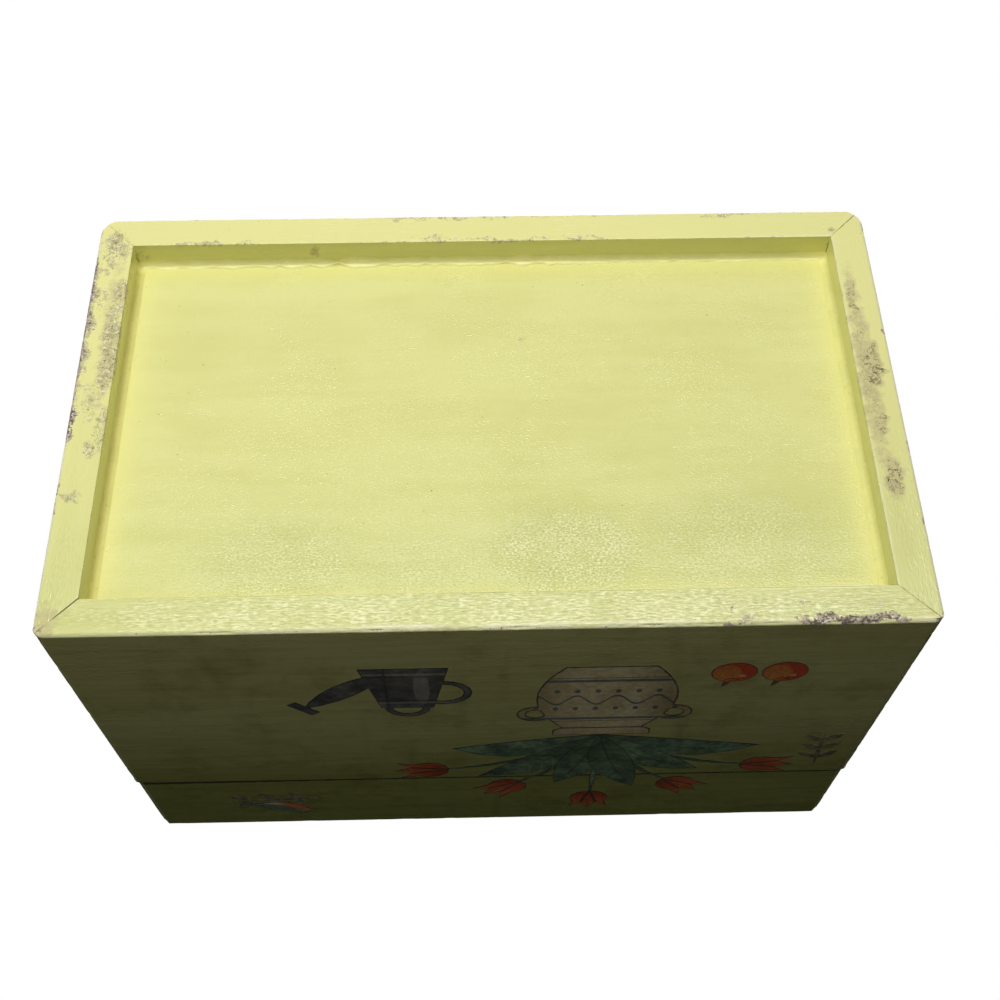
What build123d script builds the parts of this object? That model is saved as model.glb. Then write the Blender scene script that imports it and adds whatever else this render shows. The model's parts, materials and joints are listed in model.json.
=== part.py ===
from build123d import *
import os
from math import atan, cos, degrees, radians, sin, sqrt

# Decoupage box: a mitred wooden box that was sawn apart into a base and a lid,
# hinged at the back with two small brass butt hinges, with paper cut-outs glued to its front.
# Sizes are millimetres. X runs along the width, the front faces -Y and +Z is up.
# The origin is the middle of the underside, level with the rim that the box stands on.

# Wooden walls
box_width = 254.0
box_depth = 153.0
base_height = 122.0
lid_height = 52.0
wall_thickness = 11.6
mitre_gap = 0.2  # glue line between two walls
front_corner_radius = 3.2
back_corner_radius = 8.0
foot_arris = 1.2
seam_arris = 0.7
lid_top_round = 4.2
lid_inset = 0.5  # the lid is sanded slimmer than the base at its front and sides

# Bottom panel, held in a groove, and top panel, glued flush into a rabbet
bottom_panel_thickness = 6.3
top_panel_thickness = 6.0
underside_recess = 9.5
groove_depth = 5.0
rabbet_depth = 5.5
groove_play = 0.1
bottom_panel_end_play = 0.4
top_panel_end_play = 0.12
glue_bead_size = 2.4

# Brass butt hinges, screwed flat on the back with their barrels outside
hinge_spacing = 150.0
hinge_length = 25.4
hinge_leaf_width = 11.0
hinge_leaf_thickness = 0.85
hinge_leaf_corner = 1.5
hinge_pin_radius = 0.75
hinge_running_clearance = 0.05
knuckle_count = 3
knuckle_gap = 0.2
pin_head_radius = 1.25
pin_head_height = 0.5

# Countersunk brass wood screws, two in each leaf
screw_spacing = 15.0
screw_from_axis = 6.6
screw_length = 9.0
screw_head_radius = 2.1
screw_shank_radius = 1.05
screw_shank_sides = 12
screw_slot_width = 0.5
screw_slot_depth = 0.45
screw_turn_step = 40.0
screw_clearance = 0.05

# Paper cut-outs on the front: a crock of tulips that crosses the seam, a watering can,
# windfall apples, a hanging sprig and a bird on a twig
paper_thickness = 0.15
paper_edge_margin = 1.0
smallest_scrap = 0.6
leaf_snips = 6
cup_snips = 8
belly_snips = 12
round_snips = 16
crock_x = -36.0
crock_foot = 27.0
crock_height = 55.0
crock_belly_radius = 22.0
crock_neck_radius = 13.0
crock_lip_radius = 16.0
crock_ear_radius = 6.0
crock_ear_breadth = 3.0
tulip_size = 17.0
tulip_rise_over_seam = 27.0
tulip_fan_angle = 31.0
tulip_arch = 0.13
tulip_count = 5
tulip_leaf_length = 56.0
tulip_leaf_breadth = 15.0
tulip_stem_breadth = 2.2
can_x = 26.0
can_foot = 26.0
can_width = 27.0
can_height = 30.0
can_spout_reach = 19.0
can_handle_radius = 9.0
can_handle_breadth = 2.6
apple_x = -88.0
apple_foot = 26.0
apple_radius = 7.0
apple_gap = 1.2
apple_count = 2
sprig_from_side = 14.0
sprig_top_under_seam = 6.0
sprig_length = 32.0
sprig_lean = 2.0
sprig_stem_breadth = 1.6
sprig_leaf_length = 9.0
sprig_leaf_breadth = 3.4
bird_from_side = 49.0
bird_length = 24.0
twig_length = 40.0
twig_rise = 4.0
twig_breadth = 2.0
twig_leaf_length = 10.0
twig_leaf_breadth = 4.6
leaf_pair_count = 3
leaf_pair_angle = 48.0

# Places that follow from the sizes above
whole_height = base_height + lid_height
lid_width = box_width - 2 * lid_inset
lid_depth = box_depth - lid_inset
lid_middle_y = lid_inset / 2
hinge_bore_radius = hinge_pin_radius + hinge_running_clearance
hinge_barrel_radius = hinge_bore_radius + hinge_leaf_thickness
hinge_axis_y = box_depth / 2 + hinge_barrel_radius
knuckle_pitch = hinge_length / knuckle_count
leaf_start = hinge_barrel_radius + knuckle_gap
hinge_places = {"left": -hinge_spacing / 2, "right": hinge_spacing / 2}

STANDING = (Align.CENTER, Align.CENTER, Align.MIN)
BASE, LID = -1, 1


def rounded_outline(width, height, lower_round, upper_round):
    """A rectangle on its base line, with one radius at the lower corners and one at the upper."""
    outline = Rectangle(width, height, align=(Align.CENTER, Align.MIN))
    outline = fillet(outline.vertices().group_by(Axis.Y)[0], lower_round)
    return fillet(outline.vertices().group_by(Axis.Y)[-1], upper_round)


def softened_block(width, depth, height, lower_round, upper_round):
    """The space that four walls may fill: a block with rounded corners and sanded arrises."""
    plan = rounded_outline(width, depth, front_corner_radius, back_corner_radius)
    plan = Pos(0, -depth / 2) * extrude(plan, height)
    front_view = Plane.XZ * rounded_outline(width, height, lower_round, upper_round)
    side_view = Plane.YZ * rounded_outline(depth, height, lower_round, upper_round)
    return plan & extrude(front_view, depth / 2, both=True) & extrude(side_view, width / 2, both=True)


def mitred_wall(length, reach, height):
    """A wall with its outer face at y = -reach and both ends cut at 45 degrees."""
    outer_end = length / 2 - mitre_gap / sqrt(2)
    inner_end = outer_end - wall_thickness
    inner_face = wall_thickness - reach
    outer_corners = (-outer_end, -reach), (outer_end, -reach)
    inner_corners = (inner_end, inner_face), (-inner_end, inner_face)
    plan = make_face(Polyline(*outer_corners, *inner_corners, close=True))
    return extrude(plan, height)


def wall_frame(width, depth, height, channel, lower_round, upper_round):
    """Four mitred walls on z = 0. channel is (lowest z, height, depth) of the cut that holds a panel."""
    block = softened_block(width, depth, height, lower_round, upper_round)
    channel_z, channel_height, channel_depth = channel
    walls = {}
    for quarter_turns, side in enumerate(("front", "right", "back", "left")):
        length, across = (width, depth) if quarter_turns % 2 == 0 else (depth, width)
        wall = mitred_wall(length, across / 2, height)
        channel_y = wall_thickness - across / 2 - channel_depth / 2
        wall -= Pos(0, channel_y, channel_z) * Box(length, channel_depth, channel_height, align=STANDING)
        walls[side] = (Rot(0, 0, 90 * quarter_turns) * wall) & block
    return walls


def panel(width, depth, thickness, hold, end_play):
    """A flat board that reaches hold past the walls' inner faces, less its play."""
    inner_width = width - 2 * wall_thickness
    inner_depth = depth - 2 * wall_thickness
    reach = 2 * (hold - end_play)
    return Box(inner_width + reach, inner_depth + reach, thickness, align=STANDING)


def underside_glue_bead():
    """The sloped bead of glue and paint in the corner between the walls and the bottom panel."""
    width = box_width - 2 * wall_thickness
    depth = box_depth - 2 * wall_thickness
    foot = Rectangle(width, depth)
    seat = Pos(0, 0, glue_bead_size) * Rectangle(width - 2 * glue_bead_size, depth - 2 * glue_bead_size)
    bead = extrude(foot, glue_bead_size) - loft([foot, seat])
    return Pos(0, 0, underside_recess - glue_bead_size) * bead


def wood_screw(growth=0.0):
    """A countersunk screw's body with its head flush at z = 0, grown for the hole that takes it."""
    head = Cone(
        screw_shank_radius + growth, screw_head_radius + growth, hinge_leaf_thickness,
        align=(Align.CENTER, Align.CENTER, Align.MAX)
    )
    shank = extrude(RegularPolygon(screw_shank_radius + growth, screw_shank_sides), -screw_length - growth)
    return head + shank


def slotted_screw(turn):
    """The screw with its driver slot, turned as the screwdriver left it."""
    slot = Box(3 * screw_head_radius, screw_slot_width, 2 * screw_slot_depth)
    return wood_screw() - Rot(0, 0, turn) * slot


def screw_places(hinge_x, leaf_side):
    """Where a leaf's screws stand: on the leaf's outer face, pointing into the wall."""
    face_y = box_depth / 2 + hinge_leaf_thickness
    for end in (-1, 1):
        place = (hinge_x + end * screw_spacing / 2, face_y, base_height + leaf_side * screw_from_axis)
        yield Pos(*place) * Rot(-90, 0, 0)


def screws(leaf_side):
    """All the screws of the leaves on one body, as separate solids."""
    places = [place for hinge_x in hinge_places.values() for place in screw_places(hinge_x, leaf_side)]
    return [place * slotted_screw(screw_turn_step * number) for number, place in enumerate(places)]


def drilled(solid, leaf_side):
    """A back wall or a leaf with the holes for its screws."""
    for hinge_x in hinge_places.values():
        for place in screw_places(hinge_x, leaf_side):
            solid -= place * wood_screw(screw_clearance)
    return solid


def knuckle_profile(leaf_side):
    """The leaf's strip rolled round the pin, seen along the hinge's axis."""
    strip_y = hinge_leaf_thickness / 2 - hinge_barrel_radius
    strip = Pos(strip_y, leaf_side * leaf_start / 2) * Rectangle(hinge_leaf_thickness, leaf_start)
    return Plane.YZ * (Circle(hinge_barrel_radius) + strip - Circle(hinge_bore_radius))


def hinge_leaf(leaf_side, hinge_x):
    """One leaf flat on the back, with every second knuckle of the barrel."""
    plate_height = hinge_leaf_width - leaf_start
    plate = Pos(0, leaf_side * (leaf_start + plate_height / 2)) * Rectangle(hinge_length, plate_height)
    free_edge = plate.vertices().group_by(Axis.Y)[0 if leaf_side == BASE else -1]
    plate = Plane.XZ.offset(hinge_barrel_radius) * fillet(free_edge, hinge_leaf_corner)
    leaf = extrude(plate, -hinge_leaf_thickness)
    knuckle = extrude(knuckle_profile(leaf_side), knuckle_pitch - knuckle_gap)
    first = 0 if leaf_side == BASE else 1
    for number in range(first, knuckle_count, 2):
        leaf += Pos(number * knuckle_pitch + (knuckle_gap - hinge_length) / 2, 0, 0) * knuckle
    return drilled(Pos(hinge_x, hinge_axis_y, base_height) * leaf, leaf_side)


def hinge_pin(hinge_x):
    """The pin through all the knuckles, with a small flat head at either end."""
    barrel_length = hinge_length - knuckle_gap
    pin = Cylinder(hinge_pin_radius, barrel_length)
    head = Pos(0, 0, barrel_length / 2) * Cylinder(pin_head_radius, pin_head_height, align=STANDING)
    pin = pin + head + Rot(180, 0, 0) * head
    return Pos(hinge_x, hinge_axis_y, base_height) * Rot(0, 90, 0) * pin


def snipped(curve, snips):
    """A curve as scissors cut it out of paper, in short straight snips."""
    return Polyline(*[curve @ (number / snips) for number in range(snips + 1)])


def lens(start, end, breadth, bend=0.0):
    """A pointed leaf between two points of the front. bend is how far its middle lies off the straight line."""
    start, end = Vector(*start), Vector(*end)
    middle = (start + end) / 2
    sideways = (end - start).normalized().rotate(Axis.Z, 90)
    upper = ThreePointArc(start, middle + sideways * (bend + breadth / 2), end)
    lower = ThreePointArc(start, middle + sideways * (bend - breadth / 2), end)
    return make_face(snipped(upper, leaf_snips) + snipped(lower, leaf_snips))


def point_from(place, angle, distance):
    """The point at a distance from a place, at an angle measured from straight up."""
    return (place[0] + distance * sin(radians(angle)), place[1] + distance * cos(radians(angle)))


def disc(radius):
    """A round scrap of paper."""
    return RegularPolygon(radius, round_snips)


def band(radius, breadth):
    """A flat ring, such as a handle."""
    return disc(radius) - disc(radius - breadth)


def crock():
    """A round-bellied crock with a lip and two ears."""
    foot_radius = 0.62 * crock_belly_radius
    side = Spline(
        (foot_radius, 0),
        (crock_belly_radius, 0.42 * crock_height),
        (crock_neck_radius, 0.88 * crock_height),
    )
    rim = Polyline(
        (crock_neck_radius, 0.88 * crock_height),
        (crock_lip_radius, 0.92 * crock_height),
        (crock_lip_radius, crock_height),
        (0, crock_height),
        (0, 0),
        (foot_radius, 0),
    )
    half = make_face(snipped(side, belly_snips) + rim)
    ear = Pos(crock_belly_radius, 0.66 * crock_height) * band(crock_ear_radius, crock_ear_breadth)
    body = half + mirror(half, Plane.YZ)
    return Pos(crock_x, crock_foot) * (body + ear + mirror(ear, Plane.YZ))


crock_mouth = (crock_x, crock_foot + crock_height)


def stem_arch(angle):
    """How far a stem or leaf at this angle arches off its straight line, for each unit of its length."""
    return tulip_arch * sin(radians(angle))


def tulip_fan():
    """The angle and the far end of each tulip's stem, fanning out from the crock's mouth."""
    reach = base_height + tulip_rise_over_seam - crock_mouth[1]
    for number in range(tulip_count):
        angle = (number - (tulip_count - 1) / 2) * tulip_fan_angle
        yield angle, point_from(crock_mouth, angle, reach * (1 - 0.09 * (number % 2)))


def tulip(angle, place):
    """A tulip's head with three petal tips, nodding as far as its stem arches."""
    half = tulip_size / 2
    cup = ThreePointArc((-0.72 * half, 0.3 * half), (0, -half), (0.72 * half, 0.3 * half))
    tips = Polyline(
        (0.72 * half, 0.3 * half),
        (0.86 * half, 1.1 * half),
        (0.34 * half, 0.52 * half),
        (0, 1.24 * half),
        (-0.34 * half, 0.52 * half),
        (-0.86 * half, 1.1 * half),
        (-0.72 * half, 0.3 * half),
    )
    nod = 2 * degrees(atan(2 * stem_arch(angle)))
    return Pos(*place) * Rot(0, 0, -angle - nod) * make_face(snipped(cup, cup_snips) + tips)


def tulip_heads():
    """All the tulips' heads."""
    return [tulip(angle, place) for angle, place in tulip_fan()]


def tulip_leaves():
    """Broad leaves, then stems, each trimmed where the crock, a tulip or an earlier leaf covers it."""
    shapes = []
    for number in range(tulip_count + 1):
        angle = (number - tulip_count / 2) * tulip_fan_angle
        length = tulip_leaf_length * (1 - 0.1 * (number % 2))
        tip = point_from(crock_mouth, angle, length)
        shapes.append((abs(angle), lens(crock_mouth, tip, tulip_leaf_breadth, stem_arch(angle) * length)))
    shapes.sort(key=lambda leaf: leaf[0])
    for angle, place in tulip_fan():
        length = (Vector(*place) - Vector(*crock_mouth)).length
        shapes.append((angle, lens(crock_mouth, place, tulip_stem_breadth, stem_arch(angle) * length)))
    return trimmed([shape for _, shape in shapes], Sketch() + tulip_heads() + crock())


def trimmed(shapes, cover):
    """Shapes laid down one under another, each cut away where something lies over it."""
    pieces = []
    for shape in shapes:
        pieces += [piece for piece in (shape - cover).faces() if piece.area > smallest_scrap]
        cover += shape
    return pieces


def watering_can():
    """A watering can with a spout and a round handle."""
    body = Trapezoid(can_width, can_height, 80, align=(Align.CENTER, Align.MIN))
    spout_top = (can_width / 2 + can_spout_reach, 0.98 * can_height)
    spout = lens((0.2 * can_width, 0.1 * can_height), spout_top, 0.3 * can_height)
    rose = Pos(*spout_top) * Rot(0, 0, -50) * Rectangle(0.36 * can_height, 0.12 * can_height)
    handle = Pos(-0.42 * can_width, 0.62 * can_height) * band(can_handle_radius, can_handle_breadth)
    bail = Pos(0, can_height) * band(0.8 * can_handle_radius, can_handle_breadth)
    return Pos(can_x, can_foot) * (body + spout + rose + handle + bail)


def apples():
    """A row of apples, each with a short stalk."""
    stalk = lens((0, 0.5 * apple_radius), (0.35 * apple_radius, 1.55 * apple_radius), 0.25 * apple_radius)
    apple = Pos(apple_x, apple_foot + apple_radius) * (disc(apple_radius) + stalk)
    return [Pos(number * (2 * apple_radius + apple_gap), 0) * apple for number in range(apple_count)]


def leafy_stem(start, end, breadth, leaf_length, leaf_breadth):
    """A thin stem with pairs of small leaves."""
    stem = lens(start, end, breadth)
    start, end = Vector(*start), Vector(*end)
    along = (end - start).normalized()
    for number in range(1, leaf_pair_count + 1):
        root = start + (end - start) * (number / (leaf_pair_count + 1))
        for turn in (-leaf_pair_angle, leaf_pair_angle):
            tip = root + along.rotate(Axis.Z, turn) * leaf_length
            stem += lens((root.X, root.Y), (tip.X, tip.Y), leaf_breadth)
    return stem


def hanging_sprig():
    """A dried sprig hanging below the seam near the left end of the front."""
    top = (sprig_from_side - box_width / 2, base_height - sprig_top_under_seam)
    foot = (top[0] + sprig_lean, top[1] - sprig_length)
    sprig = leafy_stem(top, foot, sprig_stem_breadth, sprig_leaf_length, sprig_leaf_breadth)
    return trimmed([sprig], Sketch() + tulip_heads())


bird_place = (box_width / 2 - bird_from_side, base_height + 0.56 * lid_height)


def bird():
    """A small round bird in profile, facing left."""
    breast, rump = (-0.42 * bird_length, 0.16 * bird_length), (0.38 * bird_length, -0.1 * bird_length)
    body = lens(breast, rump, 0.42 * bird_length)
    head = Pos(-0.3 * bird_length, 0.2 * bird_length) * disc(0.14 * bird_length)
    beak_root, beak_tip = (-0.36 * bird_length, 0.2 * bird_length), (-0.54 * bird_length, 0.17 * bird_length)
    beak = lens(beak_root, beak_tip, 0.075 * bird_length)
    tail = lens((0.12 * bird_length, 0), (0.62 * bird_length, -0.16 * bird_length), 0.13 * bird_length)
    return Pos(*bird_place) * (body + head + beak + tail)


def twig():
    """The twig that the bird sits on, with small leaves, where the bird doesn't cover it."""
    middle_x, middle_z = bird_place[0], bird_place[1] - 0.29 * bird_length
    left = (middle_x - twig_length / 2, middle_z - twig_rise / 2)
    right = (middle_x + twig_length / 2, middle_z + twig_rise / 2)
    stem = leafy_stem(left, right, twig_breadth, twig_leaf_length, twig_leaf_breadth)
    return trimmed([stem], bird())


def front_of_base():
    """The flat part of the base's front, between its arrises."""
    low, high = foot_arris + paper_edge_margin, base_height - seam_arris
    width = box_width - 2 * (front_corner_radius + paper_edge_margin)
    return Pos(0, low) * Rectangle(width, high - low, align=(Align.CENTER, Align.MIN))


def front_of_lid():
    """The flat part of the lid's front, between its arrises."""
    low, high = base_height + seam_arris, whole_height - lid_top_round - paper_edge_margin
    width = lid_width - 2 * (front_corner_radius + paper_edge_margin)
    return Pos(0, low) * Rectangle(width, high - low, align=(Align.CENTER, Align.MIN))


def paper(shapes, front):
    """Thin paper glued to the front of the base or of the lid, one solid for each scrap."""
    wood_y = box_depth / 2 if front is BASE else box_depth / 2 - lid_inset
    area = front_of_base() if front is BASE else front_of_lid()
    scraps = []
    for shape in shapes:
        for face in (Sketch() + shape & area).faces():
            scraps.append(extrude(Plane.XZ.offset(wood_y) * face, paper_thickness))
    return scraps


def write(name, shape):
    """Writes one named piece, or a group of like pieces, as a STEP file."""
    if isinstance(shape, list):
        shape = shape[0] if len(shape) == 1 else Compound(children=shape)
    export_step(shape, f"parts/{name}.step")


os.makedirs("parts", exist_ok=True)

base_groove = (underside_recess, bottom_panel_thickness + groove_play, groove_depth)
base_walls = wall_frame(box_width, box_depth, base_height, base_groove, foot_arris, seam_arris)
lid_rabbet = (lid_height - top_panel_thickness, top_panel_thickness, rabbet_depth)
lid_walls = wall_frame(lid_width, lid_depth, lid_height, lid_rabbet, seam_arris, lid_top_round)
lid_walls = {side: Pos(0, lid_middle_y, base_height) * wall for side, wall in lid_walls.items()}
base_walls["back"] = drilled(base_walls["back"], BASE)
lid_walls["back"] = drilled(lid_walls["back"], LID)

for side in base_walls:
    write(f"base_{side}_wall", base_walls[side])
    write(f"lid_{side}_wall", lid_walls[side])

bottom_panel = panel(box_width, box_depth, bottom_panel_thickness, groove_depth, bottom_panel_end_play)
write("bottom_panel", Pos(0, 0, underside_recess) * bottom_panel)
top_panel = panel(lid_width, lid_depth, top_panel_thickness, rabbet_depth, top_panel_end_play)
write("lid_top_panel", Pos(0, lid_middle_y, whole_height - top_panel_thickness) * top_panel)
write("underside_glue_bead", underside_glue_bead())

for side, hinge_x in hinge_places.items():
    write(f"{side}_hinge_base_leaf", hinge_leaf(BASE, hinge_x))
    write(f"{side}_hinge_lid_leaf", hinge_leaf(LID, hinge_x))
    write(f"{side}_hinge_pin", hinge_pin(hinge_x))
write("base_hinge_screws", screws(BASE))
write("lid_hinge_screws", screws(LID))

write("crock_cutout", paper([crock()], BASE))
write("watering_can_cutout", paper([watering_can()], BASE))
write("apple_cutouts", paper(apples(), BASE))
write("sprig_cutout", paper(hanging_sprig(), BASE))
write("base_leaf_cutouts", paper(tulip_leaves(), BASE))
write("base_tulip_cutouts", paper(tulip_heads(), BASE))
write("lid_leaf_cutouts", paper(tulip_leaves(), LID))
write("lid_tulip_cutouts", paper(tulip_heads(), LID))
write("bird_cutout", paper([bird()], LID))
write("twig_cutouts", paper(twig(), LID))
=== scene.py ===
# %% [markdown]
# # A painted decoupage box
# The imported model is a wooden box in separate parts: eight mitred walls, two panels, two brass hinges and
# the paper cut-outs. This lesson dresses it: arrises get their nicks, the joints their bead of paint, and
# every surface a finish made of nodes. Everything is in metres, upright, with its front towards -Y.

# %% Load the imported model
import json
import math
from functools import partialmethod
from types import SimpleNamespace

import bmesh
import bpy
from mathutils import Matrix, Vector, noise

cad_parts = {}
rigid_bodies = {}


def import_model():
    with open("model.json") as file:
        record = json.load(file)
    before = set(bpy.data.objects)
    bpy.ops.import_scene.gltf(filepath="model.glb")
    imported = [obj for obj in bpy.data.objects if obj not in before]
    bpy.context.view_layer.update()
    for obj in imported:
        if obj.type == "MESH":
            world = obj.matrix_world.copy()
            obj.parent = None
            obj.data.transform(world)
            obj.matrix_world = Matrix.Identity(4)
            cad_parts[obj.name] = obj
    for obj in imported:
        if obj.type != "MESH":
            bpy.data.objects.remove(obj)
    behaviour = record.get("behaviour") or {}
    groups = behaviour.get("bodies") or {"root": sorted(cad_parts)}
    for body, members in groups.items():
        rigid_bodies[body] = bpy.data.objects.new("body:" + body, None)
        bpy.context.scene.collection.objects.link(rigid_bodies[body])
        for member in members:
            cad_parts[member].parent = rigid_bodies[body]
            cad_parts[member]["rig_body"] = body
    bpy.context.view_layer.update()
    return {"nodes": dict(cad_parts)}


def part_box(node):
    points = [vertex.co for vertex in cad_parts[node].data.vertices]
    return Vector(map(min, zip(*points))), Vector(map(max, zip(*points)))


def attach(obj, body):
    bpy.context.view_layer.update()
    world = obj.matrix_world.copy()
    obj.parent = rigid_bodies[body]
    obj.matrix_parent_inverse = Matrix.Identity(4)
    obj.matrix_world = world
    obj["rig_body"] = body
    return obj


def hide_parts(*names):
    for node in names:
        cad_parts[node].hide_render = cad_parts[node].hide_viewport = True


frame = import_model()

# %% [markdown]
# ## Sizes
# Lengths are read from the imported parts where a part's own corner gives them, so the finishes stay in
# place on the box. The seam is where the saw parted the lid from the base.

# %% Measure the box
MM = 0.001
HALF_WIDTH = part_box("base_right_wall")[1].x
HALF_DEPTH = -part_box("base_front_wall")[0].y
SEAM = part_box("base_front_wall")[1].z
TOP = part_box("lid_front_wall")[1].z
PANEL_LOW, PANEL_HIGH = (corner.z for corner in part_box("bottom_panel")[:2])
LID_PANEL_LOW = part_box("lid_top_panel")[0].z
WALL = 11.6 * MM
LID_INSET = HALF_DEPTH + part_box("lid_front_wall")[0].y
measured = {"half width": HALF_WIDTH, "half depth": HALF_DEPTH, "seam": SEAM, "top": TOP}
print("in mm:", {name: round(value / MM, 2) for name, value in measured.items()})

# %% [markdown]
# ## Objects
# Every lamp, board and scrap of paper becomes an object. Pieces of the box keep their shape in metres and
# stand at the origin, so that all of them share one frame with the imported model.

# %% Put something into the scene
def placed(name, data):
    """An object in the scene, at the origin and not turned."""
    made = bpy.data.objects.new(name, data)
    bpy.context.collection.objects.link(made)
    return made


def mesh_object(name, bm, materials):
    """An object with the shape of a bmesh, which is freed."""
    mesh = bpy.data.meshes.new(name)
    bm.to_mesh(mesh)
    bm.free()
    for material in materials:
        mesh.materials.append(material)
    return placed(name, mesh)


print("objects can be placed")

# %% [markdown]
# ## Camera
# The photograph looks down on a box that lies on its lid. The part stands upright, so the camera looks up
# from in front of and below it, and is rolled over. Its place, direction and lens come from a fit of the
# box's own edges to the photograph.

# %% Camera
FITTED_PLACE = Vector((1.96, -236.37, -337.48)) * MM
FITTED_AHEAD = Vector((-0.01377, 0.51237, 0.85865))
FITTED_UP = Vector((-0.01605, 0.85851, -0.51255))
FITTED_LENS = 48.32
camera_data = bpy.data.cameras.new("camera")
camera_data.lens = FITTED_LENS
camera_data.sensor_width = 36.0
camera_data.clip_start, camera_data.clip_end = 0.01, 50.0
camera = placed("camera", camera_data)
ahead = FITTED_AHEAD.normalized()
image_right = ahead.cross(FITTED_UP).normalized()
turn = Matrix((image_right, image_right.cross(ahead), -ahead)).transposed()
camera.matrix_world = Matrix.LocRotScale(FITTED_PLACE, turn, None)
bpy.context.scene.camera = camera
bpy.context.scene.view_settings.view_transform = "Standard"
print("camera at", [round(v, 4) for v in camera.location], "lens", camera_data.lens)

# %% [markdown]
# ## Light
# Soft lamps stand round the box. Two lie right below it, because the photograph's light fell on the
# underside: a broad key lamp, which isn't mirrored in the gloss, and a narrow window further back, which is,
# so that its gleam shows near the front rim. A lamp's level is the brightness that it gives to a white card
# facing it, so the levels can be compared and added.

# %% Lamps
BOX_MIDDLE = Vector((0, 0, TOP / 2))


def soft_lamp(name, place, size, level, gleams=True):
    """An area lamp that faces the middle of the box. level 1 renders a colour about as it is written. A lamp
    that doesn't gleam lights the paint, but isn't mirrored in its gloss."""
    data = bpy.data.lights.new(name, "AREA")
    data.shape = "RECTANGLE"
    data.size, data.size_y = size
    away = Vector(place) - BOX_MIDDLE
    data.energy = level * math.pi ** 2 * away.length_squared
    lamp = placed(name, data)
    lamp.location = place
    back = away.normalized()
    level_axis = Vector((1, 0, 0)) if abs(back.x) < 0.8 else Vector((0, 1, 0))
    upward = back.cross(level_axis).normalized()
    lamp.rotation_euler = Matrix((upward.cross(back), upward, back)).transposed().to_euler()
    lamp.visible_camera = False
    lamp.visible_glossy = gleams
    return lamp


lamps = [
    soft_lamp("key_below", (0.16, 0.06, -0.80), (0.40, 0.40), 0.56, gleams=False),
    soft_lamp("window_below", (-0.05, 0.223, -0.80), (0.75, 0.08), 0.24),
    soft_lamp("low_front", (0.06, -0.40, -0.34), (0.24, 0.24), 0.095),
    soft_lamp("above", (-0.20, 0.55, 1.10), (0.60, 0.60), 0.76),
    soft_lamp("right_side", (0.95, 0.80, 0.35), (0.60, 0.60), 0.46, gleams=False),
    soft_lamp("left_side", (-0.95, 0.80, 0.35), (0.60, 0.60), 0.40, gleams=False),
    soft_lamp("back", (0.15, 1.15, 0.40), (0.80, 0.80), 0.50, gleams=False),
]
print("lamps:", [lamp.name for lamp in lamps])

# %% [markdown]
# ## Nodes
# Materials are node trees. Clicking nodes together is slow to repeat, so a small helper adds them in code:
# each of its methods takes numbers or the outputs of other nodes, and returns a new output.

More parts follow.
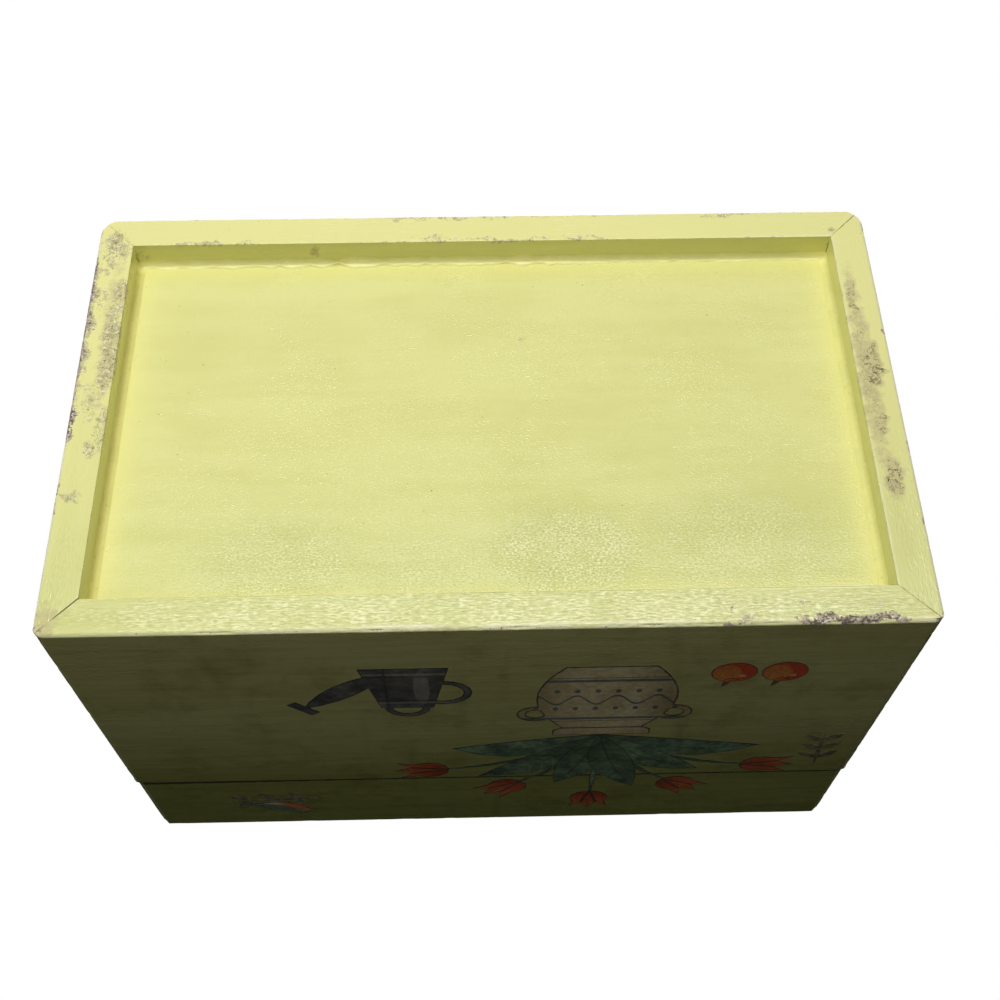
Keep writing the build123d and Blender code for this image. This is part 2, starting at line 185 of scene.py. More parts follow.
# %% A helper that adds nodes
class Recipe:
    """Adds nodes to one tree. Its methods take numbers or output sockets, and return output sockets."""

    def __init__(self, tree):
        self.tree = tree

    def node(self, kind, inputs=(), **settings):
        """Any node. Settings come first, because some of them decide which inputs the node has."""
        made = self.tree.nodes.new(kind)
        for name, value in settings.items():
            setattr(made, name, value)
        for key, value in dict(inputs).items():
            if isinstance(value, bpy.types.NodeSocket):
                self.tree.links.new(value, made.inputs[key])
            else:
                made.inputs[key].default_value = value
        return made

    def math(self, operation, first, *others):
        """An operation on one value, or on the first and each of the others in turn."""
        if not others:
            return self.node("ShaderNodeMath", {0: first}, operation=operation).outputs[0]
        for other in others:
            first = self.node("ShaderNodeMath", {0: first, 1: other}, operation=operation).outputs[0]
        return first

    total = partialmethod(math, "ADD")
    minus = partialmethod(math, "SUBTRACT")
    product = partialmethod(math, "MULTIPLY")
    most = partialmethod(math, "MAXIMUM")
    least = partialmethod(math, "MINIMUM")
    magnitude = partialmethod(math, "ABSOLUTE")

    def gap(self, value, other):
        """How far apart two values are."""
        return self.magnitude(self.minus(value, other))

    def place(self):
        """The place on the piece, in metres."""
        return self.node("ShaderNodeTexCoord").outputs["Object"]

    def attribute(self, name):
        return self.node("ShaderNodeAttribute", attribute_name=name).outputs["Fac"]

    def scaled(self, place, *factors):
        return self.node("ShaderNodeVectorMath", {0: place, 1: factors}, operation="MULTIPLY").outputs[0]

    def shifted(self, place, *offset):
        return self.node("ShaderNodeVectorMath", {0: place, 1: offset}, operation="ADD").outputs[0]

    def length(self, place):
        return self.node("ShaderNodeVectorMath", {0: place}, operation="LENGTH").outputs["Value"]

    def xyz(self, place):
        return self.node("ShaderNodeSeparateXYZ", {0: place}).outputs

    def noise(self, place, scale=1.0, detail=2.0, roughness=0.5, distortion=0.0):
        inputs = {"Vector": place, "Scale": scale, "Detail": detail, "Roughness": roughness}
        return self.node("ShaderNodeTexNoise", {**inputs, "Distortion": distortion}).outputs["Fac"]

    def streaks(self, u, v):
        """Noise over two numbers."""
        return self.noise(self.node("ShaderNodeCombineXYZ", {0: u, 1: v}).outputs[0])

    def ramp(self, value, low, high, start=0.0, end=1.0):
        """A smooth step: start where value is at low, end where it is at high."""
        inputs = enumerate((value, low, high, start, end))
        return self.node("ShaderNodeMapRange", inputs, interpolation_type="SMOOTHSTEP").outputs[0]

    def blend(self, share, low, high, **settings):
        """One colour turning into another as share goes from 0 to 1."""
        inputs = {0: share, 6: low, 7: high}
        return self.node("ShaderNodeMix", inputs, data_type="RGBA", **settings).outputs[2]

    def tinted(self, colour, share, tint):
        """A colour multiplied by a tint, as far as share says."""
        return self.blend(share, colour, tint, blend_type="MULTIPLY")

    def layered(self, colour, *layers):
        """Layers laid over a colour one by one. Each has a share and a colour."""
        for share, top in layers:
            colour = self.blend(share, colour, top)
        return colour

    def use(self, group, **inputs):
        """A copy of a node group, with its outputs by name."""
        return self.node("ShaderNodeGroup", inputs, node_tree=group).outputs


# %% Helpers for materials and for node groups
SOCKETS = {"VALUE": "NodeSocketFloat", "VECTOR": "NodeSocketVector", "RGBA": "NodeSocketColor"}


def new_group(name, **inputs):
    """A node group that works something out for a place. inputs names its other inputs and their kinds.
    Returns the group's tree, a recipe for it, the place, and all its inputs by name."""
    tree = bpy.data.node_groups.new(name, "ShaderNodeTree")
    for label, kind in {"Vector": "VECTOR", **inputs}.items():
        tree.interface.new_socket(label, in_out="INPUT", socket_type=SOCKETS[kind])
    make = Recipe(tree)
    given = make.node("NodeGroupInput").outputs
    return tree, make, given["Vector"], given


def close_group(make, **results):
    """Give a group its results under their names."""
    for label, socket in results.items():
        make.tree.interface.new_socket(label, in_out="OUTPUT", socket_type=SOCKETS[socket.type])
    make.node("NodeGroupOutput", results)
    print("group:", make.tree.name, "gives", sorted(results))


def new_material(name):
    """A material with an empty node tree, and a recipe for it."""
    material = bpy.data.materials.new(name)
    material.use_nodes = True
    material.node_tree.nodes.clear()
    return material, Recipe(material.node_tree)


def rgb(red, green, blue):
    return (red, green, blue, 1.0)


def shade(make, colour, roughness, height, depth, **settings):
    """The Principled BSDF of a material, with a bump of the given depth in metres."""
    bump = make.node("ShaderNodeBump", {"Height": height, "Distance": depth, "Strength": 1.0})
    inputs = {"Base Color": colour, "Roughness": roughness, "Normal": bump.outputs[0]}
    inputs.update({name.replace("_", " "): value for name, value in settings.items()})
    surface = make.node("ShaderNodeBsdfPrincipled", inputs)
    make.node("ShaderNodeOutputMaterial", {"Surface": surface.outputs[0]})


print("helpers are ready")

# %% [markdown]
# ## World and floor
# The world is a dim dome for diffuse light. Rays from the camera, and rays that a glossy or clear surface
# sends on, see plain white instead, which gives the white background and lets metal show it.

# %% World
DOME_LEVEL = 0.022
world = bpy.data.worlds.new("white studio")
bpy.context.scene.world = world
world.use_nodes = True
world.node_tree.nodes.clear()
sky = Recipe(world.node_tree)
rays = sky.node("ShaderNodeLightPath").outputs
seen = sky.most(rays["Is Camera Ray"], rays["Is Glossy Ray"], rays["Is Transmission Ray"])
dome = sky.blend(seen, rgb(DOME_LEVEL, DOME_LEVEL, DOME_LEVEL), rgb(1, 1, 1))
background = sky.node("ShaderNodeBackground", {"Color": dome})
sky.node("ShaderNodeOutputWorld", {"Surface": background.outputs[0]})
print("dome level:", DOME_LEVEL)

# %% [markdown]
# The floor is a pale disc under the box. The main camera looks up from below it, so its underside is clear,
# and only camera rays meet it at all: the lamps below shine through. It fades out towards its edge, where
# the white world takes over.

# %% Floor
FLOOR_DROP = 0.3 * MM
FLOOR_RADIUS = 1.1
FLOOR_FADES_FROM = 0.30


def floor_material():
    material, make = new_material("pale floor")
    place = make.place()
    faded = make.ramp(make.length(place), FLOOR_FADES_FROM, FLOOR_RADIUS * 0.9, 1.0, 0.0)
    rays = make.node("ShaderNodeLightPath").outputs
    front = make.minus(1.0, make.node("ShaderNodeNewGeometry").outputs["Backfacing"])
    share = make.product(faded, rays["Is Camera Ray"], front)
    clear = make.node("ShaderNodeBsdfTransparent").outputs[0]
    grey = make.blend(make.noise(place, 9.0, 3.0), rgb(0.84, 0.84, 0.83), rgb(0.88, 0.88, 0.87))
    pale = make.node("ShaderNodeBsdfDiffuse", {"Color": grey}).outputs[0]
    mixed = make.node("ShaderNodeMixShader", {0: share, 1: clear, 2: pale})
    make.node("ShaderNodeOutputMaterial", {"Surface": mixed.outputs[0]})
    return material


bm = bmesh.new()
bmesh.ops.create_circle(bm, cap_ends=True, segments=64, radius=FLOOR_RADIUS)
bmesh.ops.translate(bm, verts=bm.verts, vec=(0, 0, -FLOOR_DROP))
floor = mesh_object("floor", bm, [floor_material()])
print("floor radius:", FLOOR_RADIUS)

# %% [markdown]
# A glossy front would mirror the white world and look milky. Photographers hang a dark card, called a flag,
# where the lens sees it in the gloss. This one shows only in reflections, and casts no shadow.

# %% Dark card for the front's gloss
bm = bmesh.new()
bmesh.ops.create_grid(bm, x_segments=1, y_segments=1, size=2.4)
bmesh.ops.translate(bm, verts=bm.verts, vec=(0, -0.9, 2.0))
card_material, make = new_material("dark card")
weave = make.noise(make.place(), 30.0)
black = make.blend(weave, rgb(0.02, 0.02, 0.02), rgb(0.03, 0.03, 0.03))
felt = make.node("ShaderNodeBsdfDiffuse", {"Color": black})
make.node("ShaderNodeOutputMaterial", {"Surface": felt.outputs[0]})
card = mesh_object("dark card", bm, [card_material])
card.visible_camera = card.visible_diffuse = card.visible_shadow = card.visible_transmission = False
print("dark card corner:", [round(v, 2) for v in card.data.vertices[0].co])

# %% [markdown]
# ## Effects that several finishes share
# Paint wears first where hands and tables touch it: along the arrises. Where an arris is follows from the
# box's sizes alone, so one group works out how far each point is from the nearest one. Its other outputs
# are the distances to the inner edge of a rim, to the mitre joints, and how deep a point lies in a wall.

# %% Group: distances to the box's edges
box_edges, make, place, _ = new_group("box edges")
x, y, z = make.xyz(place)
inset = make.product(make.math("GREATER_THAN", z, SEAM), LID_INSET)
half_inset = make.product(inset, 0.5)
from_side = make.minus(HALF_WIDTH, inset, make.magnitude(x))
from_front = make.minus(HALF_DEPTH, half_inset, make.gap(y, half_inset))
from_seam = make.gap(z, SEAM)
from_foot = make.least(make.magnitude(z), from_seam)
from_end = make.least(from_foot, make.gap(TOP, z))
depth = make.least(from_side, from_front)
arris = make.most(depth, make.least(make.most(from_side, from_front), from_end))
rim = make.most(make.gap(depth, WALL), from_foot)
mitre = make.gap(from_side, from_front)
close_group(make, Arris=arris, Rim=rim, Mitre=mitre, Depth=depth, Seam=from_seam)

# %% [markdown]
# Brushed paint dries in shallow ridges along the stroke. Noise stretched along X gives them: fine ones,
# broad bands where one stroke overlaps the next, and scattered beads shorter than a millimetre. A material
# turns the place first where its strokes run another way.

# %% Group: brush marks
brush_marks, make, place, _ = new_group("brush marks")
fine = make.noise(make.scaled(place, 260, 1500, 1500), detail=2.0, roughness=0.6)
bands = make.noise(make.scaled(place, 14, 170, 170), detail=3.0)
dapples = make.noise(make.scaled(place, 30, 60, 60), detail=4.0, roughness=0.6)
crowded = make.ramp(make.noise(make.shifted(place, 0.02, 0.0, 0.0), 42.0, 3.0, 0.6), 0.40, 0.60, 0.25, 1.0)
beads = make.ramp(make.noise(make.scaled(place, 1100, 1600, 1600), detail=0.0), 0.50, 0.72, 0.0, 0.50)
relief = make.total(make.product(fine, 0.30), make.product(bands, 0.9), make.product(beads, crowded))
close_group(make, Relief=relief, Bands=bands, Dapples=dapples)

# %% [markdown]
# Some places of this box are worn much more than others. Each is an ellipsoid with a middle, a reach along
# each axis and a strength, all read off the photograph: scuffed ones, where the paint is cracked and dirty,
# bared ones, where the wood shows, grimy ones, and glinting ones, where the gleam of grains in the paint is
# painted as pale flecks, with painted shade between them.

# %% Group: the worn and glinting places
WORN_AND_GLINTING = {}
WORN_AND_GLINTING["Scuffed"] = [  # middle and reach in mm, strength
    ((117.8, 24, 0), (5.0, 34, 4), 1.05),
    ((117.0, -8, 0), (3.6, 14, 4), 0.80),
    ((120.6, 62, 0), (6.4, 14, 4), 1.05),
    ((125.4, 30, 0), (2.4, 48, 5), 0.95),
    ((121.5, -31, 0), (4.6, 4.0, 3), 0.95),
    ((116.8, 46, 0), (3.4, 8, 3), 1.00),
    ((-70, -75.2, 0), (12, 2.0, 3), 0.80),
    ((-88, -70.0, 0), (5.0, 1.8, 2), 0.80),
    ((-68, -71.5, 0), (2.4, 1.2, 2), 0.90),
    ((-82, 75.0, 0), (14, 1.8, 3), 0.85),
    ((0, 75.6, 0), (70, 1.5, 3), 0.78),
    ((90, 65.8, 0), (24, 1.2, 2), 0.82),
    ((-10, 65.8, 0), (60, 1.2, 2), 0.72),
    ((122.2, 42, 0), (3.0, 10, 3), 0.80),
    ((121.6, 2, 0), (3.4, 14, 3), 0.75),
    ((119.0, -16, 0), (3.0, 6, 3), 0.80),
    ((-11.3, 30.9, 9.5), (4.0, 1.6, 2), 0.90),
]
WORN_AND_GLINTING["Bared"] = [  # from a strength of 0.65 up the wood is old and dark
    ((126.2, 26, 0), (2.0, 50, 5), 1.15),
    ((126.8, -32, 0), (2.2, 12, 6), 1.10),
    ((126.6, -4, 0), (2.6, 13, 5), 1.55),
    ((126.8, 40, 0), (1.6, 36, 5), 1.30),
    ((-101, -75.0, 0), (26, 2.6, 3.0), 1.60),
    ((-66, -76.4, 0), (12, 0.9, 2), 1.20),
    ((-106, 76.2, 0), (14, 1.0, 3), 0.80),
    ((100, 76.4, 0), (22, 0.9, 3), 0.90),
    ((-126.7, 42, 0), (1.6, 4, 4), 1.20),
    ((-126.7, 24, 0), (1.2, 3, 4), 1.10),
    ((-126.7, -18, 0), (1.4, 3, 4), 1.20),
    ((-126.7, -44, 0), (1.2, 3, 4), 1.20),
    ((-125.6, -75, 0), (2, 2, 5), 1.10),
    ((125.6, -75, 0), (3, 4, 9), 0.85),
]
WORN_AND_GLINTING["Grimy"] = [
    ((-118.6, 8, 0), (4.6, 60, 3), 0.80),
    ((-120.8, 12, 0), (4.4, 14, 3), 1.30),
    ((-119.8, -10, 0), (3.2, 8, 3), 1.05),
    ((-120.4, -29, 0), (4.2, 11, 3), 1.30),
    ((-118.2, 38, 0), (2.2, 16, 3), 1.00),
    ((118.5, 30, 0), (5, 42, 3), 0.50),
    ((-115.6, 66.4, 3), (2.6, 2.2, 9), 1.10),
    ((114.4, 65.2, 5), (5.0, 1.6, 4), 0.90),
    ((56, 65.0, 4), (3.5, 1.2, 4), 0.90),
    ((123.5, -72, 0), (4.5, 9, 3), 0.60),
    ((-108, -70, 0), (7, 2.4, 2), 0.40),
]
WORN_AND_GLINTING["Speckled"] = [
    ((-22, -48, 9.5), (36, 24, 5), 1.00),
    ((-75, -46, 9.5), (52, 30, 5), 0.62),
    ((20, -52, 9.5), (40, 18, 5), 0.55),
    ((62, -50, 9.5), (44, 26, 5), 0.62),
    ((0, -71, 0), (190, 12, 4), 1.00),
    ((-121, -44, 0), (8, 34, 3), 0.28),
    ((121, -54, 0), (8, 26, 3), 0.35),
]


def strongest(make, place, spots):
    """How strongly the strongest of some spots marks a place."""
    result = 0.0
    for middle, reach, strength in spots:
        offset = make.shifted(place, *[-value * MM for value in middle])
        far = make.length(make.scaled(offset, *[1 / (value * MM) for value in reach]))
        result = make.most(result, make.ramp(far, 1.0, 0.25, 0.0, strength))
    return result


worn_and_glinting_places, make, place, _ = new_group("worn and glinting places")
cloudy = {"Vector": place, "Scale": 170.0, "Detail": 4.0, "Roughness": 0.6}
wander = make.node("ShaderNodeTexNoise", cloudy).outputs["Color"]
shift = make.scaled(make.shifted(wander, -0.5, -0.5, -0.5), 7 * MM, 10 * MM, 2 * MM)
ragged = make.node("ShaderNodeVectorMath", {0: place, 1: shift}, operation="ADD").outputs[0]
close_group(make, **{kind: strongest(make, ragged, spots) for kind, spots in WORN_AND_GLINTING.items()})
print("worn and glinting places:", {kind: len(spots) for kind, spots in WORN_AND_GLINTING.items()})

# %% [markdown]
# Wear breaks paint up in steps. A dirty, finely cracked film comes first, then spots where the wood shows,
# and last pits that hold dark grime. Levels drive them through grains of noise, so a patch has ragged edges
# and whole paint left inside it.

# %% Group: paint wear
paint_wear, make, place, given = new_group("paint wear", Scuffed="VALUE", Bared="VALUE")
scuffed, bared = given["Scuffed"], given["Bared"]
grains = make.noise(place, 700.0, 3.0, 0.75, 0.8)
clumps = make.noise(place, 190.0, 5.0, 0.75, 0.4)
mixed_grain = make.total(make.product(grains, 0.30), make.product(clumps, 0.70))
film = make.ramp(make.total(mixed_grain, make.product(scuffed, 0.15)), 0.585, 0.635)
film = make.product(film, make.ramp(scuffed, 0.05, 0.30))
dirt = make.blend(make.ramp(grains, 0.36, 0.48), rgb(0.200, 0.165, 0.070), rgb(0.560, 0.505, 0.270))
dirt = make.blend(make.ramp(grains, 0.55, 0.62), dirt, rgb(0.880, 0.840, 0.520))
wiggle = make.gap(make.noise(place, 300.0, 3.0, 0.7, 1.4), 0.5)
cracks = make.product(make.ramp(wiggle, 0.024, 0.006), make.ramp(scuffed, 0.35, 0.85))
other_grain = make.noise(make.shifted(place, 0.3, 0.1, 0.2), 600.0, 4.0, 0.75)
bare = make.ramp(make.total(other_grain, make.product(bared, 0.28)), 0.75, 0.80)
bare = make.product(bare, make.ramp(bared, 0.05, 0.30))
small_grain = make.noise(make.shifted(place, 0.7, 0.4, 0.1), 1200.0, 1.0)
both = make.most(bared, make.product(scuffed, 0.7))
pits = make.ramp(make.total(small_grain, make.product(both, 0.19)), 0.79, 0.84)
close_group(make, Film=film, Dirt=dirt, Cracks=cracks, Bare=bare, Pits=pits)

# %% [markdown]
# Under the paint is a pale close-grained wood. Its fibres are noise stretched far along the board, with
# short dark pores between them. Where it has lain bare for long it is a dark brown-grey with crumbs of paint.

# %% Group: bare wood
bare_wood, make, place, given = new_group("bare wood", Age="VALUE")
figure = make.noise(make.scaled(place, 9, 120, 120), detail=4.0, roughness=0.6, distortion=0.6)
fibres = make.noise(make.scaled(place, 60, 1900, 1900), detail=2.0, roughness=0.6)
pores = make.ramp(make.noise(make.scaled(place, 180, 2600, 2600), detail=1.0), 0.66, 0.74)
mixed_figure = make.total(make.product(figure, 0.65), make.product(fibres, 0.35))
wood = make.blend(make.ramp(mixed_figure, 0.35, 0.65), rgb(0.40, 0.29, 0.19), rgb(0.66, 0.53, 0.39))
wood = make.blend(make.product(pores, 0.6), wood, rgb(0.16, 0.10, 0.06))
old_grain = make.noise(make.scaled(place, 260, 900, 900), detail=4.0, roughness=0.7)
old_wood = make.blend(make.ramp(old_grain, 0.36, 0.56), rgb(0.200, 0.155, 0.105), rgb(0.500, 0.420, 0.310))
old_wood = make.blend(make.ramp(old_grain, 0.57, 0.63), old_wood, rgb(0.860, 0.800, 0.640))
wood = make.blend(given["Age"], wood, old_wood)
close_group(make, Color=wood, Figure=mixed_figure)

# %% [markdown]
# ## Painted wood
# The real box has a thick coat of pale lemon oil paint, gone glossy and a little dirty. The finish is built
# in the order in which the real one came about: wood, paint with its brush marks, then wear and grime. Some
# of its colour is painted light and shade: darker towards the front and towards the lid, paler towards the
# back of the underside, glints and highlights on edges, and shade in the seam. Each function below works out
# one step for a place, and the last one lays the steps over each other.

# %% Colours of the paint
PAINT = rgb(0.778, 0.768, 0.298)
PAINT_DEEP = rgb(0.735, 0.723, 0.255)
# The next colour is a paler paint, used for painted light on the back of the underside.
PAINT_LIT = rgb(0.870, 0.838, 0.335)
PAINT_POOLED = rgb(0.790, 0.760, 0.275)
# The next colour is a painted highlight: pale flecks for the gleam of the paint.
PAINT_GLINT = rgb(0.920, 0.915, 0.500)
PAINT_RELIEF = 0.10 * MM
GRIME = rgb(0.055, 0.045, 0.030)
SCRIBBLE = rgb(0.150, 0.105, 0.035)
OPEN_JOINT = rgb(0.16, 0.13, 0.06)
SMOKED = rgb(0.520, 0.430, 0.300)
SMEARED = rgb(0.545, 0.475, 0.235)
# The next colour is paint rubbed pale, and also a painted highlight on the edges.
RUBBED_AND_HIGHLIT = rgb(0.860, 0.820, 0.560)
# The next colour darkens the whole front: partly its age, partly painted shade.
AGED_AND_SHADED = rgb(0.820, 0.800, 0.820)
print("paint:", [round(value, 3) for value in PAINT[:3]])


# %% The coat of paint, with its painted light and shade
def survey(make, along, drawn_out):
    """What the steps need to know about a place: where it is, also turned so that X runs along the brush
    strokes, how it lies to the box's edges, its brush marks, how worn it is, and where glints are painted."""
    at = SimpleNamespace(place=make.place())
    at.turned = at.place
    if along == "Y":
        quarter_turn = {"Vector": at.place, "Rotation": (0, 0, math.pi / 2)}
        at.turned = make.node("ShaderNodeMapping", quarter_turn).outputs[0]
    at.brushed = make.scaled(at.turned, 1 / drawn_out, 1, 1)
    at.east, at.north, at.height = make.xyz(at.place)
    at.edges = make.use(box_edges, Vector=at.place)
    at.brush = make.use(brush_marks, Vector=at.brushed)
    at.worn = make.use(worn_and_glinting_places, Vector=at.place)
    at.underneath = make.math("LESS_THAN", at.height, 0.2 * MM)
    at.patchy = make.ramp(make.noise(at.place, 70.0, 3.0), 0.35, 0.65, 0.35, 1.0)
    inner = make.math("GREATER_THAN", at.edges["Depth"], WALL - 0.3 * MM)
    above_panel = make.math("GREATER_THAN", at.height, PANEL_HIGH - 0.1 * MM)
    below_lid = make.math("LESS_THAN", at.height, LID_PANEL_LOW + 0.1 * MM)
    at.inside = make.product(inner, above_panel, below_lid)
    return at


def coat_and_painted_light(make, at, on_front, pooled):
    """The paint's own colour, with the brown marks of the front or the smooth border of the bottom panel.
    Painted shade and light are in it too: greyer and darker towards the front, paler towards the back of the
    underside, and on the front darker all over and most towards the lid.
    """
    tone = make.total(make.product(at.brush["Dapples"], 0.6), make.product(at.brush["Bands"], 0.4))
    colour = make.blend(make.ramp(tone, 0.36, 0.62), PAINT_DEEP, PAINT)
    # Painted shade: all paint is tinted greyer and darker towards the front of the box.
    shade_towards_front = make.ramp(at.north, 20 * MM, -HALF_DEPTH, 0.0, 0.85)
    colour = make.tinted(colour, shade_towards_front, rgb(0.92, 0.94, 0.96))
    # Painted light: the underside turns to a paler paint towards the back.
    light_towards_back = make.product(at.underneath, make.ramp(at.north, -70 * MM, 60 * MM, 0.05, 0.68))
    colour = make.blend(light_towards_back, colour, PAINT_LIT)
    if pooled:
        border = make.ramp(at.edges["Depth"], WALL + 10 * MM, WALL + 1.0 * MM, 0.0, 0.9)
        colour = make.blend(border, colour, PAINT_POOLED)
    if on_front:
        grain = make.noise(make.scaled(at.place, 25, 420, 420), detail=4.0, roughness=0.6)
        drips = make.noise(make.scaled(at.place, 90, 90, 10), detail=3.0)
        smoke = make.noise(at.place, 60.0, 4.0, 0.65)
        marks = make.total(
            make.ramp(grain, 0.42, 0.66, 0.0, 0.18), make.ramp(drips, 0.56, 0.76, 0.0, 0.22),
            make.ramp(smoke, 0.46, 0.70, 0.0, 0.36)
        )
        # Painted shade: the whole front is darkened a little, partly for its age, and gets darker and more
        # olive towards the lid.
        shade_towards_lid = make.ramp(at.height, 70 * MM, 130 * MM, 0.0, 0.9)
        colour = make.tinted(colour, 1.0, AGED_AND_SHADED)
        colour = make.tinted(colour, shade_towards_lid, rgb(0.64, 0.71, 0.44))
        colour = make.tinted(colour, marks, SMOKED)
    return colour


def painted_glints(make, at, colour):
    """Painted glints and sheen: pale flecks stand for the gleam of grains in the paint, with painted shade in
    the hollows between them and a grey painted sheen over the patch.
    """
    level = at.worn["Speckled"]
    strength = make.ramp(level, 0.0, 0.9)
    clusters = make.ramp(make.noise(at.place, 90.0, 4.0, 0.75), 0.36, 0.62, -0.045, 0.040)
    grains = make.noise(make.scaled(at.brushed, 1200, 2000, 2000), detail=2.0, roughness=0.6)
    glints = make.ramp(make.total(grains, clusters, make.product(level, 0.06)), 0.56, 0.70)
    shaded_hollows = make.product(make.ramp(grains, 0.50, 0.36), strength, 0.75)
    # Painted sheen: the glinting places are tinted grey.
    colour = make.tinted(colour, make.product(make.ramp(level, 0.0, 1.0), 0.55), rgb(0.84, 0.87, 0.85))
    colour = make.tinted(colour, shaded_hollows, rgb(0.74, 0.77, 0.72))
    return make.blend(make.product(glints, strength, 0.80), colour, PAINT_GLINT)


print("steps of the coat are ready")


# %% Wear and grime
def wear_of_paint(make, at):
    """The group of paint wear, driven by the worn places, the arrises, the rims, the seam and the nicks."""
    along_arris = make.product(make.ramp(at.edges["Arris"], 2.0 * MM, 0.0), at.patchy, 0.50)
    along_rim = make.product(make.ramp(at.edges["Rim"], 1.0 * MM, 0.0), at.patchy, 0.45)
    on_seam = make.ramp(at.edges["Seam"], 0.5 * MM, 0.1 * MM, 0.0, 0.35)
    nicks = make.product(make.attribute("nick"), 0.5)
    bared = make.total(along_arris, on_seam, at.worn["Bared"], nicks)
    scuffed = make.total(along_rim, make.product(along_arris, 0.6), at.worn["Scuffed"])
    return make.use(paint_wear, Vector=at.place, Scuffed=scuffed, Bared=bared)


def rubbed_and_highlit_edges(make, at):
    """Where the coat is lighter along arrises, and on parts of the underside's front and left rims: partly
    paint rubbed pale, partly a painted highlight on the edges.
    """
    along_arris = make.product(make.ramp(at.edges["Arris"], 1.3 * MM, 0.3 * MM), at.patchy, 0.65)
    near_edge = make.product(
        make.ramp(at.north, -74.4 * MM, -75.0 * MM), make.ramp(at.east, 70 * MM, 30 * MM), at.underneath
    )
    left_rim = make.product(
        make.ramp(at.edges["Rim"], 0.9 * MM, 0.4 * MM), make.ramp(at.east, -60 * MM, -100 * MM),
        at.underneath
    )
    return make.most(along_arris, make.product(make.most(near_edge, left_rim), at.patchy, 0.55))


def grime_layers(make, at):
    """Brown smears, thin dark wavy lines and dots, each with its share and colour."""
    level = at.worn["Grimy"]
    dirt = make.noise(at.place, 240.0, 5.0, 0.7)
    smear = make.ramp(make.total(dirt, make.product(level, 0.36)), 0.46, 0.86, 0.0, 0.75)
    smear = make.product(smear, make.ramp(level, 0.05, 0.35))
    line = make.gap(make.noise(at.place, 300.0, 2.0, 0.6, 1.8), 0.5)
    scribble = make.product(make.ramp(line, 0.045, 0.012), make.ramp(level, 0.62, 1.00), 0.75)
    specks = make.noise(make.shifted(at.place, 0.4, 0.4, 0.4), 620.0, 1.0)
    dots = make.ramp(make.total(specks, make.product(level, 0.10)), 0.76, 0.80)
    dots = make.product(dots, make.ramp(level, 0.5, 0.8), 0.9)
    return (smear, SMEARED), (scribble, SCRIBBLE), (dots, GRIME)


def open_joints(make, at):
    """How dark a mitre joint is. The underside's front right one has opened at its inner end."""
    mitre = at.edges["Mitre"]
    filled = make.ramp(at.patchy, 0.5, 0.9, 0.05, 0.40)
    tight = make.product(make.ramp(mitre, 0.30 * MM, 0.08 * MM), filled)
    to_corner = make.length(make.shifted(at.place, -117 * MM, 67 * MM, 0))
    near = make.ramp(to_corner, 7 * MM, 3 * MM)
    opened = make.product(make.ramp(mitre, 0.45 * MM, 0.20 * MM), near, 0.85)
    in_wall = make.math("LESS_THAN", at.edges["Depth"], WALL + 0.2 * MM)
    return make.product(make.most(tight, opened), in_wall)


def seam_grime_and_shade(make, at, share):
    """The ragged dark line above the seam, which gets wider towards the right: grime in the joint, and
    painted shade of the gap between lid and base.
    """
    wider = make.ramp(at.east, 30 * MM, 115 * MM, 0.0, -0.9 * MM)
    waver = make.product(make.noise(at.place, 300.0, 3.0), 1.2 * MM)
    ragged = make.total(make.minus(at.height, SEAM), waver, wider)
    return make.product(
        make.ramp(ragged, 3.2 * MM, 2.0 * MM), make.ramp(at.edges["Depth"], 1.2 * MM, 0.8 * MM),
        make.ramp(make.minus(ragged, wider), -0.3 * MM, 0.3 * MM), share
    )


print("steps of the wear are ready")


# %% Painted wood
def painted_wood(name, along="X", drawn_out=2.6, gloss=0.5, on_front=False, pooled=False):
    """Paint on one of the box's boards, brushed along an axis."""
    material, make = new_material(name)
    at = survey(make, along, drawn_out)
    wood = make.use(bare_wood, Vector=at.turned, Age=make.ramp(at.worn["Bared"], 0.65, 0.95))
    wear = wear_of_paint(make, at)
    colour = coat_and_painted_light(make, at, on_front, pooled)
    thin = make.product(at.inside, make.ramp(wood["Figure"], 0.38, 0.60, 0.75, 0.15))
    colour = make.blend(thin, colour, wood["Color"])
    # Laid over in turn: painted glints, rubbed paint with painted highlight, grime, wear, dark joints, and
    # the seam's grime with its painted shade.
    colour = make.layered(
        painted_glints(make, at, colour),
        (rubbed_and_highlit_edges(make, at), RUBBED_AND_HIGHLIT),
        *grime_layers(make, at),
        (make.product(wear["Film"], 0.80), wear["Dirt"]),
        (make.product(wear["Cracks"], 0.50), GRIME),
        (wear["Bare"], wood["Color"]),
        (make.product(wear["Pits"], 0.85), GRIME),
        (open_joints(make, at), OPEN_JOINT),
        (seam_grime_and_shade(make, at, 0.92 if on_front else 0.45), GRIME),
    )
    dull = make.most(wear["Bare"], make.product(wear["Film"], 0.6), make.product(at.inside, 0.7))
    smooth = make.ramp(at.brush["Dapples"], 0.35, 0.65, 0.15, 0.22)
    roughness = make.total(smooth, make.product(dull, 0.35))
    shade(make, colour, roughness, at.brush["Relief"], PAINT_RELIEF, Specular_IOR_Level=gloss)
    return material


painted = {
    "long walls": painted_wood("paint_on_long_walls"),
    "short walls": painted_wood("paint_on_short_walls", along="Y"),
    # The front's paint has real stains and painted shade.
    "front": painted_wood("stained_and_shaded_paint_on_front", gloss=0.35, on_front=True),
    "bottom": painted_wood("paint_on_bottom_panel", drawn_out=1.0, pooled=True),
    "lid": painted_wood("paint_on_lid_panel"),
}
print("painted finishes:", sorted(painted))

